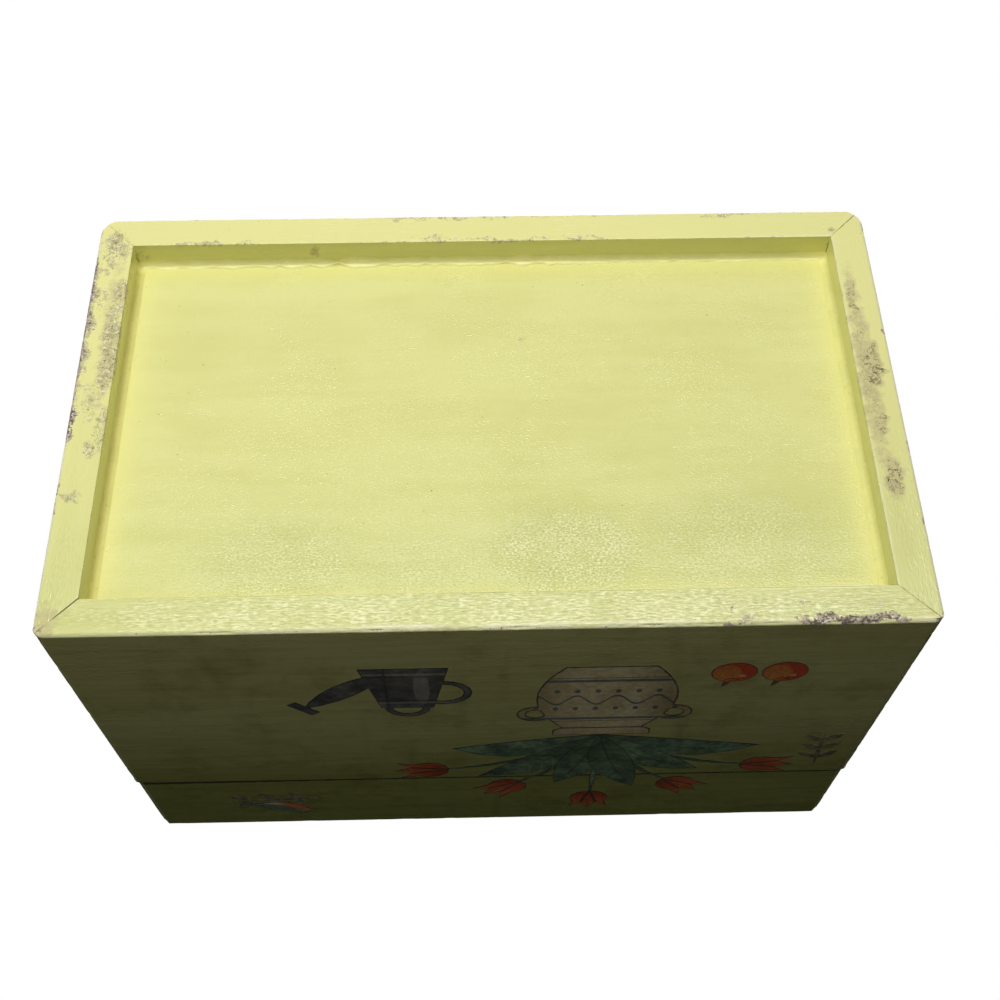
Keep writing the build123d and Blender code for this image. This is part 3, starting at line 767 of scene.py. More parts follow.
# %% [markdown]
# ## Walls
# A CAD part arrives as loose triangles with perfectly even arrises. A copy is merged into whole faces, its
# rounded arrises are cut across into short lengths, and each new corner is pushed in by a little noise, with
# a deeper chip here and there. How far it went is kept in an attribute, so that the paint is worn there.

# %% Merge a CAD part's triangles into whole faces
TOWARDS = 0.9  # how far a face's normal goes along an axis that it faces
MERGED_WITHIN = 0.003 * MM
FLAT_WITHIN = math.radians(0.4)


def merged(node, holed_back=False):
    """A bmesh of a CAD node, with its flat faces whole. A back with screw holes keeps its triangles, since
    one face can't go round several holes."""
    mesh = frame["nodes"][node].data.copy()
    for spare in [a.name for a in mesh.attributes if a.name.startswith("custom_normal")]:
        mesh.attributes.remove(mesh.attributes[spare])
    bm = bmesh.new()
    bm.from_mesh(mesh)
    bpy.data.meshes.remove(mesh)
    bmesh.ops.remove_doubles(bm, verts=bm.verts, dist=MERGED_WITHIN)
    bm.normal_update()
    joining = [e for e in bm.edges if not (holed_back and all(face.normal.y > 0.99 for face in e.link_faces))]
    bmesh.ops.dissolve_limit(
        bm, angle_limit=FLAT_WITHIN, use_dissolve_boundaries=False, verts=bm.verts, edges=joining
    )
    bm.normal_update()
    return bm


def bevelled(bm, edges, breadth):
    """Ease some edges of a bmesh."""
    bmesh.ops.bevel(
        bm, geom=edges, offset=breadth, offset_type="OFFSET", segments=2, profile=0.5,
        affect="EDGES", material=-1, clamp_overlap=True,
    )


def finished_piece(name, bm, node, materials, sharp_degrees=38.0):
    """A piece that stands for a CAD node: smooth over its roundings and sharp at its edges."""
    for face in bm.faces:
        face.smooth = True
    for edge in bm.edges:
        edge.smooth = len(edge.link_faces) == 2 and edge.calc_face_angle(0.0) < math.radians(sharp_degrees)
    piece = mesh_object(name, bm, materials)
    even = piece.modifiers.new("even shading", "WEIGHTED_NORMAL")
    even.keep_sharp = True
    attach(piece, frame["nodes"][node]["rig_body"])
    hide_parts(node)
    return piece


print("CAD parts can be merged")

# %% Where an arris is, and how far it has worn
CUT_SPACING = 1.3 * MM
ROUNDED = 2.5 * MM
CORNER_REACH = 8.2 * MM
TOUCHING = 0.05 * MM
SEAM_SLACK = 0.02 * MM
ROUGH, ROUGH_SCALE = 0.13 * MM, 700
CHIP, CHIP_SCALE, CHIP_LEVEL = 0.95 * MM, 190, 0.22
LID_CORNER, LID_CORNER_REACH = 0.9 * MM, 6 * MM
SEAM_CORNER, SEAM_CORNER_REACH = 0.55 * MM, 5 * MM


def distances(place):
    """How far a place lies from the outer planes of its half of the box: sides, front or back, ends."""
    in_lid = place.z > SEAM + SEAM_SLACK
    inset = LID_INSET if in_lid else 0.0
    ends = (place.z - SEAM, TOP - place.z) if in_lid else (place.z, SEAM - place.z)
    return (
        HALF_WIDTH - inset - abs(place.x),
        HALF_DEPTH - inset / 2 - abs(place.y - inset / 2),
        max(0.0, min(ends)),
    )


def nick_depth(place):
    """How far wear has pushed an arris in at this place."""
    rough = 0.5 + 0.5 * noise.noise(place * ROUGH_SCALE)
    chips = max(0.0, noise.noise(place * CHIP_SCALE + Vector((7, 3, 1))) - CHIP_LEVEL)
    return ROUGH * rough + CHIP * chips


def corner_wear(place):
    """How far years of handling have rounded off the lid's top corners and the base's corners at the seam."""
    side, front, _ = distances(place)
    to_top = TOP - place.z
    corner = LID_CORNER * math.exp(-(side ** 2 + front ** 2 + to_top ** 2) / LID_CORNER_REACH ** 2)
    to_seam = max(0.0, SEAM - place.z) if place.z < SEAM + SEAM_SLACK else 1.0
    fading = math.exp(-(to_seam / SEAM_CORNER_REACH) ** 2)
    seam = SEAM_CORNER * fading * math.exp(-(side ** 2 + front ** 2) / SEAM_CORNER_REACH ** 2)
    return corner + seam


print("arrises are worn where they lie less than", ROUNDED / MM, "mm deep in the board")


# %% Nick the walls
ALONG, FLAT = 0.01, 0.9995
SHORTEST_RIM = 60 * MM
RIM_BEVEL = 0.45 * MM
DEEPEST_NICK = 0.45 * MM
FULL_NICK_FROM, FULL_CORNER_FROM = 0.28 * MM, 0.9 * MM


def cut_roundings(bm, axis):
    """Cut the rounded arrises that run along an axis into short lengths."""
    def span(face):
        along = [vert.co[axis] for vert in face.verts]
        return min(along), max(along)

    whole = [
        face for face in bm.faces
        if abs(face.normal[axis]) < ALONG and max(abs(value) for value in face.normal) < FLAT
        and min(distances(face.calc_center_median())) < ROUNDED
    ]
    places = [vert.co[axis] for face in whole for vert in face.verts]
    if not places or max(places) - min(places) < 4 * CUT_SPACING:
        return 0
    low, high = min(places), max(places)
    count = int((high - low) / CUT_SPACING)
    way = Vector([float(number == axis) for number in range(3)])
    for number in range(1, count):
        level = low + (high - low) * number / count
        crossed = [face for face in whole if face.is_valid and span(face)[0] < level < span(face)[1]]
        edges = {edge for face in crossed for edge in face.edges}
        verts = {vert for face in crossed for vert in face.verts}
        cut = bmesh.ops.bisect_plane(
            bm, geom=[*crossed, *edges, *verts], dist=1e-7, plane_co=way * level, plane_no=way
        )["geom"]
        halves = [piece for piece in cut if isinstance(piece, bmesh.types.BMFace)]
        whole = {face for face in [*whole, *halves] if face.is_valid}
        whole = [face for face in whole if span(face)[1] > level + 1e-6]
    return count


def nicked_wall(node, side, materials):
    """A wall with its rounded arrises worn uneven and its inner rims eased."""
    bm = merged(node, holed_back=side == "back")

    def on_inner_rim(vert):
        from_rim = min(abs(vert.co.z), abs(vert.co.z - SEAM))
        return abs(min(distances(vert.co)[:2]) - WALL) < TOUCHING and from_rim < TOUCHING

    rims = [e for e in bm.edges if e.calc_length() > SHORTEST_RIM and all(on_inner_rim(v) for v in e.verts)]
    bevelled(bm, rims, RIM_BEVEL)
    cuts = sum(cut_roundings(bm, axis) for axis in range(3))
    bm.normal_update()
    nick = bm.verts.layers.float.new("nick")
    moves = []
    for vert in bm.verts:
        nearest, second, _ = sorted(distances(vert.co))
        if SEAM_SLACK < nearest < ROUNDED and second < CORNER_REACH and vert.normal.length > 0.5:
            depth = nick_depth(vert.co) * min(1.0, nearest / FULL_NICK_FROM)
            moves.append((vert, depth + corner_wear(vert.co) * min(1.0, nearest / FULL_CORNER_FROM)))
    for vert, depth in moves:
        vert.co -= vert.normal * depth
        vert[nick] = min(1.0, depth / DEEPEST_NICK)
    for face in bm.faces:
        outside = min(distances(face.calc_center_median())) < TOUCHING
        if len(materials) > 1 and face.normal.y < -TOWARDS and outside:
            face.material_index = 1
    name = node.split("_")[0] + f"_{side}_wall_painted"
    print(name, "inner rims", len(rims), "cuts", cuts, "corners", len(bm.verts))
    return finished_piece(name, bm, node, materials)


for half in ("base", "lid"):
    for side in ("front", "right", "back", "left"):
        coats = [painted["long walls" if side in ("front", "back") else "short walls"]]
        if side == "front":
            coats.append(painted["front"])
        nicked_wall(f"{half}_{side}_wall", side, coats)

# %% [markdown]
# ## Panels
# The bottom panel sits in a groove and stays as it came from the CAD model. The lid's top panel lies flush
# in its rabbet. Its copy gets a fine bevel, so that the joint round it shows.

# %% Panels
frame["nodes"]["bottom_panel"].data.materials.clear()
frame["nodes"]["bottom_panel"].data.materials.append(painted["bottom"])
bm = merged("lid_top_panel")
bevelled(bm, list(bm.edges), 0.35 * MM)
lid_panel = finished_piece("lid_top_panel_painted", bm, "lid_top_panel", [painted["lid"]])
print("lid panel faces:", len(lid_panel.data.polygons))

# %% [markdown]
# ## Paint in the mitre joints
# The walls meet in glued mitres with a hair's breadth between them. On the real box paint has run into
# these joints, and cracked open again in some. A thin slab stands in each joint, a little below the surface.

# %% Paint in the joints
JOINT = 0.22 * MM
SUNK = 0.10 * MM
FRONT_ROUND, BACK_ROUND = 3.2 * MM, 8.0 * MM


def joint_paint():
    material, make = new_material("paint_in_the_joints")
    place = make.place()
    split = make.noise(place, 160.0, 3.0, 0.6)
    to_front_right = make.length(make.shifted(place, -116 * MM, 66 * MM, 0))
    to_back_right = make.length(make.shifted(place, -121 * MM, -70 * MM, 0))
    dark = make.total(make.ramp(split, 0.40, 0.58, 0.10, 0.95), make.ramp(to_front_right, 9 * MM, 2 * MM))
    dark = make.product(dark, make.ramp(to_back_right, 8 * MM, 16 * MM, 0.35, 1.0))
    shade(make, make.blend(dark, PAINT_DEEP, GRIME), 0.5, split, 0.05 * MM, Specular_IOR_Level=0.3)
    return material


def joint_slab(bm, side_x, side_y, half, low, high):
    """A thin slab along one mitre, from the rounded outer corner to the inner one."""
    inset = LID_INSET if half == "lid" else 0.0
    corner = Vector((side_x * (HALF_WIDTH - inset), HALF_DEPTH if side_y > 0 else inset - HALF_DEPTH, 0))
    inward = Vector((-side_x, -side_y, 0))
    corner_cut = (BACK_ROUND if side_y > 0 else FRONT_ROUND) * (1 - math.sqrt(0.5))
    start = corner + inward * (corner_cut + SUNK)
    end = corner + inward * (WALL + 0.05 * MM)
    spin = Matrix.Rotation(math.atan2(inward.y, inward.x), 4, "Z")
    size = Matrix.Diagonal(((end - start).length, JOINT, high - low, 1.0))
    middle = (start + end) / 2 + Vector((0, 0, (low + high) / 2))
    bmesh.ops.create_cube(bm, size=1.0, matrix=Matrix.Translation(middle) @ spin @ size)


joint_runs = {
    "base": [(SUNK, PANEL_LOW - SUNK), (PANEL_HIGH + 2 * SUNK, SEAM - 7 * SUNK)],
    "lid": [(SEAM + 7 * SUNK, LID_PANEL_LOW - SUNK)],
}
paint_of_joints = joint_paint()
for half, runs in joint_runs.items():
    bm = bmesh.new()
    for side_x in (-1, 1):
        for side_y in (-1, 1):
            for low, high in runs:
                joint_slab(bm, side_x, side_y, half, low, high)
    slabs = mesh_object(f"paint_in_{half}_joints", bm, [paint_of_joints])
    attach(slabs, half)
    print(slabs.name, "faces", len(slabs.data.polygons))

# %% [markdown]
# ## The bead of paint round the bottom panel
# Glue and paint filled the corner between the walls and the panel. Along the back the skin of paint has
# wrinkled. A ring is spun round the middle, which closes on itself, and then each of its sections is moved
# to its own place along the four inner walls, with a size that wanders a little from place to place.

# %% Paint of the bead
INNER_X, INNER_Y = HALF_WIDTH - WALL, HALF_DEPTH - WALL


def thick_paint():
    material, make = new_material("thick_paint_of_the_bead")
    place = make.place()
    east, north, _ = make.xyz(place)
    dapples = make.noise(place, 90.0, 4.0, 0.6)
    colour = make.blend(make.ramp(dapples, 0.35, 0.65), PAINT_DEEP, PAINT_POOLED)
    # Painted shade: next to the +X wall the bead is tinted darker and golden, as shade warmed by the yellow
    # walls.
    golden_shade = make.product(make.ramp(east, HALF_WIDTH - WALL - 4 * MM, HALF_WIDTH - WALL), 0.45)
    colour = make.tinted(colour, golden_shade, rgb(0.92, 0.80, 0.45))
    dust = make.ramp(make.noise(place, 700.0, 2.0, 0.6), 0.62, 0.74, 0.0, 0.25)
    colour = make.tinted(colour, dust, SMOKED)
    # Painted light: along the back the bead is painted paler, which lifts the shadow that the wall casts on
    # it.
    lit_at_back = make.ramp(north, INNER_Y - 5 * MM, INNER_Y - 3 * MM)
    # Painted highlight: the crests of the wrinkles along the back are painted pale.
    crest_highlights = make.ramp(make.attribute("lip"), 0.3, 0.9)
    colour = make.layered(
        colour,
        (make.product(lit_at_back, 0.8), rgb(0.870, 0.830, 0.320)),
        (make.product(crest_highlights, 0.85), rgb(0.960, 0.930, 0.430)),
    )
    wrinkles = make.noise(make.scaled(place, 500, 900, 900), detail=3.0)
    roughness = make.ramp(dapples, 0.4, 0.6, 0.20, 0.32)
    shade(make, colour, roughness, wrinkles, 0.10 * MM, Specular_IOR_Level=0.25)
    return material


bead_paint = thick_paint()
print("material:", bead_paint.name)

# %% The bead
SECTIONS_A_SIDE = 180
RING_POINTS = 12
FRONT_POINTS = 8
RING_RADIUS = 3.0
EMBEDDED = 0.15 * MM
REACH, RISE, LIP = 2.5 * MM, 2.2 * MM, 0.50 * MM
REACH_WAVE, RISE_WAVE, FOLD_WAVE = 1.3 * MM, 0.9 * MM, 0.2 * MM
LIP_AT, LIP_BREADTH, CREST_BREADTH = 0.80, 0.15, 0.12


def waves(distance, side):
    """How far the paint is wrinkled at a place: strongly along the back, hardly elsewhere."""
    swell = noise.noise(Vector((distance * 110, side * 5.0, 0.3)))
    fold = noise.noise(Vector((distance * 190, side * 5.0, 2.0)))
    ripple = noise.noise(Vector((distance * 380, side * 5.0, 4.0)))
    strength = 0.24
    if side == 1:
        strength = 1.0 if -30 * MM < distance < 95 * MM else 0.55
    wave = 0.7 * swell + 1.0 * fold + 0.6 * ripple if side == 1 else 0.5 * swell
    return strength * wave, strength


def near_lip(point, breadth):
    """1 on the lip of the bead, falling off to 0 on either side of it."""
    return math.exp(-((point / FRONT_POINTS - LIP_AT) / breadth) ** 2)


def bead_point(turned, point):
    """Where one point of the spun ring goes: turned is its place round the box, in quarter turns."""
    side = int(turned) % 4
    share = 2 * (turned - int(turned)) - 1
    half_length = INNER_Y if side in (0, 2) else INNER_X
    wave, strength = waves(-share * half_length if side in (1, 2) else share * half_length, side)
    reach = REACH + REACH_WAVE * wave
    rise = RISE + RISE_WAVE * wave
    if point <= FRONT_POINTS:
        angle = math.pi / 2 * point / FRONT_POINTS
        inward, down = reach * (1 - math.cos(angle)), rise * (1 - math.sin(angle))
        down += strength * LIP * near_lip(point, LIP_BREADTH)
        if side == 1:
            down += FOLD_WAVE * max(0.0, wave)
        if point == 0:
            inward -= EMBEDDED
        if point == FRONT_POINTS:
            down = -EMBEDDED
    else:
        hidden = {9: (0.5 * reach, -EMBEDDED), 10: (-EMBEDDED, -EMBEDDED), 11: (-EMBEDDED, 0.5 * rise)}
        inward, down = hidden[point]
    along = share * (half_length - inward)
    x, y = {0: (INNER_X - inward, along), 1: (-along, INNER_Y - inward),
            2: (inward - INNER_X, -along), 3: (along, inward - INNER_Y)}[side]
    return Vector((x, y, PANEL_LOW - down))


bm = bmesh.new()
skin = bm.verts.layers.float.new("lip")
bmesh.ops.create_circle(bm, cap_ends=False, segments=RING_POINTS, radius=1.0)
bmesh.ops.rotate(bm, verts=bm.verts, cent=(0, 0, 0), matrix=Matrix.Rotation(math.pi / 2, 3, "X"))
bmesh.ops.translate(bm, verts=bm.verts, vec=(RING_RADIUS, 0, 0))
bmesh.ops.spin(
    bm, geom=bm.verts[:] + bm.edges[:], cent=(0, 0, 0), axis=(0, 0, 1), angle=2 * math.pi,
    steps=4 * SECTIONS_A_SIDE, use_merge=True, use_duplicate=False,
)
for vert in bm.verts:
    place = vert.co
    turned = (math.atan2(place.y, place.x) / (math.pi / 2)) % 4
    turned = round(turned * SECTIONS_A_SIDE) / SECTIONS_A_SIDE % 4
    across = math.atan2(place.z, math.hypot(place.x, place.y) - RING_RADIUS)
    point = round(across / (2 * math.pi) * RING_POINTS) % RING_POINTS
    vert.co = bead_point(turned, point)
    # The crests along the back are marked here, for the bead's painted highlight.
    vert[skin] = near_lip(point, CREST_BREADTH) if int(turned) % 4 == 1 else 0.0
bmesh.ops.recalc_face_normals(bm, faces=bm.faces)
bead = finished_piece("bead_of_paint", bm, "underside_glue_bead", [bead_paint], 75.0)
print("bead faces:", len(bead.data.polygons))

# %% [markdown]
# ## Hinges
# Small stamped brass hinges on the back. Brass that is never polished goes brown and dull, with some gold
# left where it is rubbed. A fine bevel on a copy of each part lets its edges catch the light.

# %% Tarnished brass
tarnish, make, place, _ = new_group("tarnish")
cloud = make.ramp(make.noise(place, 260.0, 4.0, 0.65), 0.38, 0.66, 0.15, 0.75)
spots = make.ramp(make.noise(place, 1400.0, 2.0), 0.58, 0.70, 0.0, 0.4)
scratches = make.noise(make.scaled(place, 300, 3500, 3500), detail=2.0)
close_group(make, Tarnish=make.total(cloud, spots), Scratches=scratches)


def old_brass(name, depth):
    material, make = new_material(name)
    age = make.use(tarnish, Vector=make.place())
    colour = make.blend(age["Tarnish"], rgb(0.74, 0.54, 0.24), rgb(0.22, 0.13, 0.055))
    roughness = make.total(make.product(age["Tarnish"], 0.30), 0.28)
    metallic = make.ramp(age["Tarnish"], 0.5, 1.1, 1.0, 0.6)
    shade(make, colour, roughness, age["Scratches"], depth, Metallic=metallic)
    return material


stamped_brass = old_brass("stamped_brass_of_the_hinges", 0.03 * MM)
turned_brass = old_brass("turned_brass_of_pins_and_screws", 0.02 * MM)

# %% Hinge leaves, pins and screws
halves, sides = ("base", "lid"), ("left", "right")
hinge_parts = [(f"{side}_hinge_{half}_leaf", stamped_brass, 0.12) for side in sides for half in halves]
hinge_parts += [(f"{side}_hinge_pin", turned_brass, 0.12) for side in sides]
hinge_parts += [(f"{half}_hinge_screws", turned_brass, 0.08) for half in halves]
for node, material, breadth in hinge_parts:
    bm = merged(node)
    corners = [e for e in bm.edges if len(e.link_faces) == 2 and e.calc_face_angle(0.0) > math.radians(50)]
    bevelled(bm, corners, breadth * MM)
    piece = finished_piece(f"{node}_worn", bm, node, [material])
    print(piece.name, "faces", len(piece.data.polygons))

# %% [markdown]
# ## Paper cut-outs
# Decoupage is printed paper, cut out, glued down and varnished over. The drawing on each scrap is made of
# nodes, so it needs to know where on its flower, leaf or jug a point lies. Each scrap therefore gets a map
# with two numbers of its own, taken from the same lengths and angles that set the bouquet out. Its outline
# is inset once, and a value that falls from 1 at the cut edge to 0 at the inset draws the inked border.

# %% How the bouquet is laid out, in mm on the front
MOUTH = Vector((-36.0, 82.0))
FAN_ANGLE = 31.0
ARCH = 0.13
STEM_REACH = 67.0
TULIP_HALF = 8.5
LEAF_REACH, LEAF_BREADTH, STEM_BREADTH = 56.0, 15.0, 2.2


def turned_up(angle, length):
    """A vector on the front, at an angle in degrees from straight up."""
    return Vector((math.sin(math.radians(angle)), math.cos(math.radians(angle)))) * length


def head(angle, reach):
    """The map of a tulip's head: across it and up it, in halves of its size."""
    place = MOUTH + turned_up(angle, reach)
    nod = 2 * math.degrees(math.atan(2 * ARCH * math.sin(math.radians(angle))))
    up = turned_up(angle + nod, 1.0)
    right = Vector((up.y, -up.x))

    def chart(point):
        offset = point - place
        return offset.dot(right) / TULIP_HALF, offset.dot(up) / TULIP_HALF

    return {"chart": chart, "holds": lambda point: (point - place).length < 1.6 * TULIP_HALF}


def patch(x, z, width, height, reach=1000.0):
    """A plain map with its own middle and scale."""
    middle = Vector((x, z))
    return {
        "chart": lambda point: ((point.x - x) / width, (point.y - z) / height),
        "holds": lambda point: (point - middle).length < reach,
    }


stem_lengths = [((n - 2) * FAN_ANGLE, STEM_REACH * (1 - 0.09 * (n % 2))) for n in range(5)]
tulip_maps = [head(angle, length) for angle, length in stem_lengths]
leaf_lengths = [((n - 2.5) * FAN_ANGLE, LEAF_REACH * (1 - 0.1 * (n % 2))) for n in range(6)]
leaf_lengths.sort(key=lambda leaf: abs(leaf[0]))
print("tulips:", len(tulip_maps), "leaves:", len(leaf_lengths))


# %% Cut a sheet of paper
def islands(faces):
    """Faces in groups that hang together."""
    left = set(faces)
    groups = []
    while left:
        group, edge_of_group = [], [left.pop()]
        while edge_of_group:
            face = edge_of_group.pop()
            group.append(face)
            for near in {f for e in face.edges for f in e.link_faces} & left:
                left.remove(near)
                edge_of_group.append(near)
        groups.append(group)
    return groups


THIN = 3.2 * MM


def on_front(vert):
    return Vector((vert.co.x, vert.co.z)) / MM


def paper_piece(node, material, maps, line):
    """A node's paper scraps, each with its inked border and its own map. Thin scraps have no border."""
    bm = merged(node)
    rim = bm.verts.layers.float.new("rim")
    chart = bm.loops.layers.uv.new("print")
    for vert in bm.verts:
        vert[rim] = 1.0
    for scrap in islands(bm.faces):
        front = [face for face in scrap if face.normal.y < -TOWARDS]
        area = sum(face.calc_area() for face in front)
        edges = {edge for face in front for edge in face.edges}
        outline = sum(e.calc_length() for e in edges if sum(f in front for f in e.link_faces) == 1)
        breadth = 2 * area / outline
        plain = scrap
        if line and breadth >= THIN:
            plain = front
            bmesh.ops.inset_region(
                bm, faces=front, thickness=min(line * MM, 0.3 * breadth), use_even_offset=False,
                use_boundary=True
            )
        for vert in {vert for face in plain for vert in face.verts}:
            vert[rim] = 0.0
    for scrap in islands(bm.faces):
        points = [on_front(vert) for face in scrap for vert in face.verts]
        fitting = [m for m in maps if all(m["holds"](point) for point in points)] or maps
        for face in scrap:
            for loop in face.loops:
                loop[chart].uv = fitting[0]["chart"](on_front(loop.vert))
    return finished_piece(f"{node}_printed", bm, node, [material], 30.0)


print("scraps thinner than", THIN / MM, "mm have no border")

# %% [markdown]
# The prints share one group: it lays the ink over the colour, mottles it as cheap printed paper is, and puts
# yellowed varnish with fine crackle on top.

# %% Group: printed paper
INK = rgb(0.018, 0.020, 0.018)
VARNISH, CRACKLE = rgb(0.96, 0.91, 0.74), rgb(0.45, 0.36, 0.22)
printed_paper, make, place, given = new_group("printed paper", Print="RGBA", Ink="VALUE", Rim="VALUE")
blotches = make.noise(place, 420.0, 4.0, 0.7)
fibres = make.noise(place, 2400.0, 2.0)
mottled = make.tinted(given["Print"], make.ramp(blotches, 0.40, 0.66, 0.0, 0.55), rgb(0.55, 0.56, 0.50))
wobble = make.product(make.minus(make.noise(place, 520.0, 2.0), 0.5), 0.9)
border = make.ramp(make.total(given["Rim"], wobble), 0.34, 0.50)
worn_ink = make.product(make.most(border, given["Ink"]), make.ramp(fibres, 0.30, 0.45, 0.75, 0.97))
inked = make.blend(worn_ink, mottled, INK)
cells = {"Vector": make.scaled(place, 300, 300, 300), "Scale": 1.0}
to_crack = make.node("ShaderNodeTexVoronoi", cells, feature="DISTANCE_TO_EDGE").outputs["Distance"]
varnished = make.tinted(make.tinted(inked, 1.0, VARNISH), make.ramp(to_crack, 0.0, 0.05, 0.35, 0.0), CRACKLE)
close_group(make, Color=varnished, Height=make.total(make.product(blotches, 0.6), make.product(fibres, 0.3)))


# %% Helpers for drawing with nodes
def printed(name, drawing):
    """A printed paper. drawing is given the recipe, the place and the two numbers of the scrap's own map,
    and gives the colour of the print and where ink lies."""
    material, make = new_material(name)
    place = make.place()
    u, v, _ = make.xyz(make.node("ShaderNodeUVMap", uv_map="print").outputs[0])
    colour, ink = drawing(make, place, u, v)
    sheet = make.use(printed_paper, Vector=place, Print=colour, Ink=ink, Rim=make.attribute("rim"))
    roughness = make.ramp(make.noise(place, 60.0), 0.4, 0.6, 0.34, 0.46)
    shade(make, sheet["Color"], roughness, sheet["Height"], 0.05 * MM, Specular_IOR_Level=0.25)
    return material


def stroke(make, value, width, *lines):
    """Ink where a value comes near one of some lines, as wide as width on either side."""
    strokes = [make.ramp(make.gap(value, line), width, width * 0.5) for line in lines]
    return make.most(*strokes) if len(strokes) > 1 else strokes[0]


def dab(make, u, v, at_u, at_v, reach_u, reach_v):
    """1 in an ellipse, 0 outside it."""
    x = make.math("DIVIDE", make.minus(u, at_u), reach_u)
    y = make.math("DIVIDE", make.minus(v, at_v), reach_v)
    return make.ramp(make.total(make.product(x, x), make.product(y, y)), 1.15, 0.85)


print("prints can be drawn")

# %% [markdown]
# Leaves and stems lie over each other, so their print can't come from one map. A group works out, for one
# leaf at a time, where a point lies in it: the leaf starts at the crock's mouth and arches a little off its
# straight line. The print then lays the leaves down one by one, from the lowest to the topmost.

# %% Group: one leaf
one_leaf, make, place, given = new_group(
    "one leaf", Along="VECTOR", Length="VALUE", Half="VALUE", Arch="VALUE"
)
east, _, north = make.xyz(place)
over, _, up = make.xyz(given["Along"])
east = make.product(make.minus(east, MOUTH.x * MM), 1 / MM)
north = make.product(make.minus(north, MOUTH.y * MM), 1 / MM)
run = make.math("DIVIDE", make.total(make.product(east, over), make.product(north, up)), given["Length"])
off = make.minus(make.product(north, over), make.product(east, up))
swell = make.product(run, make.minus(1.0, run), 4.0)
away = make.gap(off, make.product(swell, given["Arch"]))
from_edge = make.minus(make.product(swell, given["Half"]), away)
broad = make.ramp(given["Half"], 2.0, 3.0)
outline = make.ramp(from_edge, 0.50, 0.30)
rib = make.product(make.ramp(away, 0.38, 0.20), make.ramp(run, 0.95, 0.80), broad)
share = make.math("DIVIDE", away, given["Half"])
stripes = make.math("PINGPONG", make.minus(make.product(run, 11.0), make.product(share, 1.3)), 0.5)
close_group(
    make, Inside=make.math("GREATER_THAN", from_edge, 0.0), Ink=make.most(outline, make.product(rib, 0.85)),
    Veins=make.product(make.ramp(stripes, 0.10, 0.02), broad)
)


# %% Prints of leaves and tulips
def leaf_drawing(make, place, *_):
    tone = make.ramp(make.noise(place, 240.0, 4.0, 0.65), 0.34, 0.70)
    colour, ink = rgb(0.05, 0.09, 0.07), 0.0
    laid = [(angle, length, LEAF_BREADTH / 2) for angle, length in leaf_lengths]
    laid += [(angle, length, STEM_BREADTH / 2) for angle, length in stem_lengths]
    for number, (angle, length, half) in reversed(list(enumerate(laid))):
        along = turned_up(angle, 1.0)
        arch = ARCH * along.x * length
        leaf = make.use(
            one_leaf, Vector=place, Along=(along.x, 0, along.y), Length=length, Half=half, Arch=arch
        )
        light = 0.85 + 0.3 * (number % 3)
        dark_green, pale_green = (
            rgb(*[c * light for c in green]) for green in ((0.030, 0.062, 0.050), (0.145, 0.225, 0.155))
        )
        green = make.blend(tone, dark_green, pale_green)
        green = make.blend(make.product(leaf["Veins"], 0.45), green, rgb(0.24, 0.32, 0.22))
        colour = make.blend(leaf["Inside"], colour, green)
        inks = {0: leaf["Inside"], 2: ink, 3: leaf["Ink"]}
        ink = make.node("ShaderNodeMix", inks, data_type="FLOAT").outputs[0]
    return colour, ink


def tulip_drawing(make, _, u, v):
    streaks = make.streaks(make.product(u, 9.0), make.product(v, 1.4))
    tone = make.total(make.ramp(v, -1.0, 1.1, 0.0, 0.75), make.ramp(streaks, 0.35, 0.65, -0.15, 0.25))
    colour = make.blend(tone, rgb(0.26, 0.040, 0.022), rgb(0.66, 0.20, 0.070))
    from_middle = make.magnitude(u)
    petal = stroke(make, from_middle, 0.085, make.total(make.product(v, 0.22), 0.225))
    cheek = stroke(make, from_middle, 0.045, make.total(make.product(v, 0.18), 0.60))
    spine = stroke(make, u, 0.05, 0.0)
    return colour, make.most(
        make.product(petal, make.ramp(v, 0.66, 0.50)),
        make.product(spine, make.ramp(v, 0.2, 0.9), 0.7),
        make.product(cheek, make.ramp(v, 0.1, 0.8), 0.7),
    )


leaves = printed("print_of_leaves_and_stems", leaf_drawing)
tulips = printed("print_of_tulips", tulip_drawing)
print("prints:", leaves.name, tulips.name)


# %% Prints of the crock, the watering can and the apples
def crock_drawing(make, place, u, v):
    edge = make.ramp(make.magnitude(u), 0.35, 1.05)
    colour = make.blend(edge, rgb(0.70, 0.635, 0.45), rgb(0.40, 0.335, 0.21))
    glaze = make.ramp(make.noise(place, 150.0, 4.0, 0.6), 0.45, 0.70)
    colour = make.tinted(colour, make.product(glaze, 0.5), rgb(0.72, 0.66, 0.50))
    shine = make.product(dab(make, u, v, -0.38, 0.52, 0.10, 0.17), 0.6)
    vine_line = make.total(make.product(make.math("SINE", make.product(u, 11.0)), 0.060), 0.46)
    cell = make.minus(make.math("FRACT", make.product(u, 3.5)), 0.5)
    painted_lines = make.most(
        stroke(make, v, 0.022, 0.735, 0.19),
        stroke(make, v, 0.016, vine_line),
        dab(make, cell, v, 0.0, 0.585, 0.14, 0.026),
        dab(make, cell, v, 0.0, 0.335, 0.14, 0.026),
    )
    colour = make.layered(
        colour, (shine, rgb(0.82, 0.78, 0.62)), (make.product(painted_lines, 0.9), rgb(0.075, 0.105, 0.140))
    )
    lines = make.most(stroke(make, v, 0.013, 0.885), stroke(make, v, 0.006, 0.775, 0.15))
    return colour, make.product(lines, 0.9)


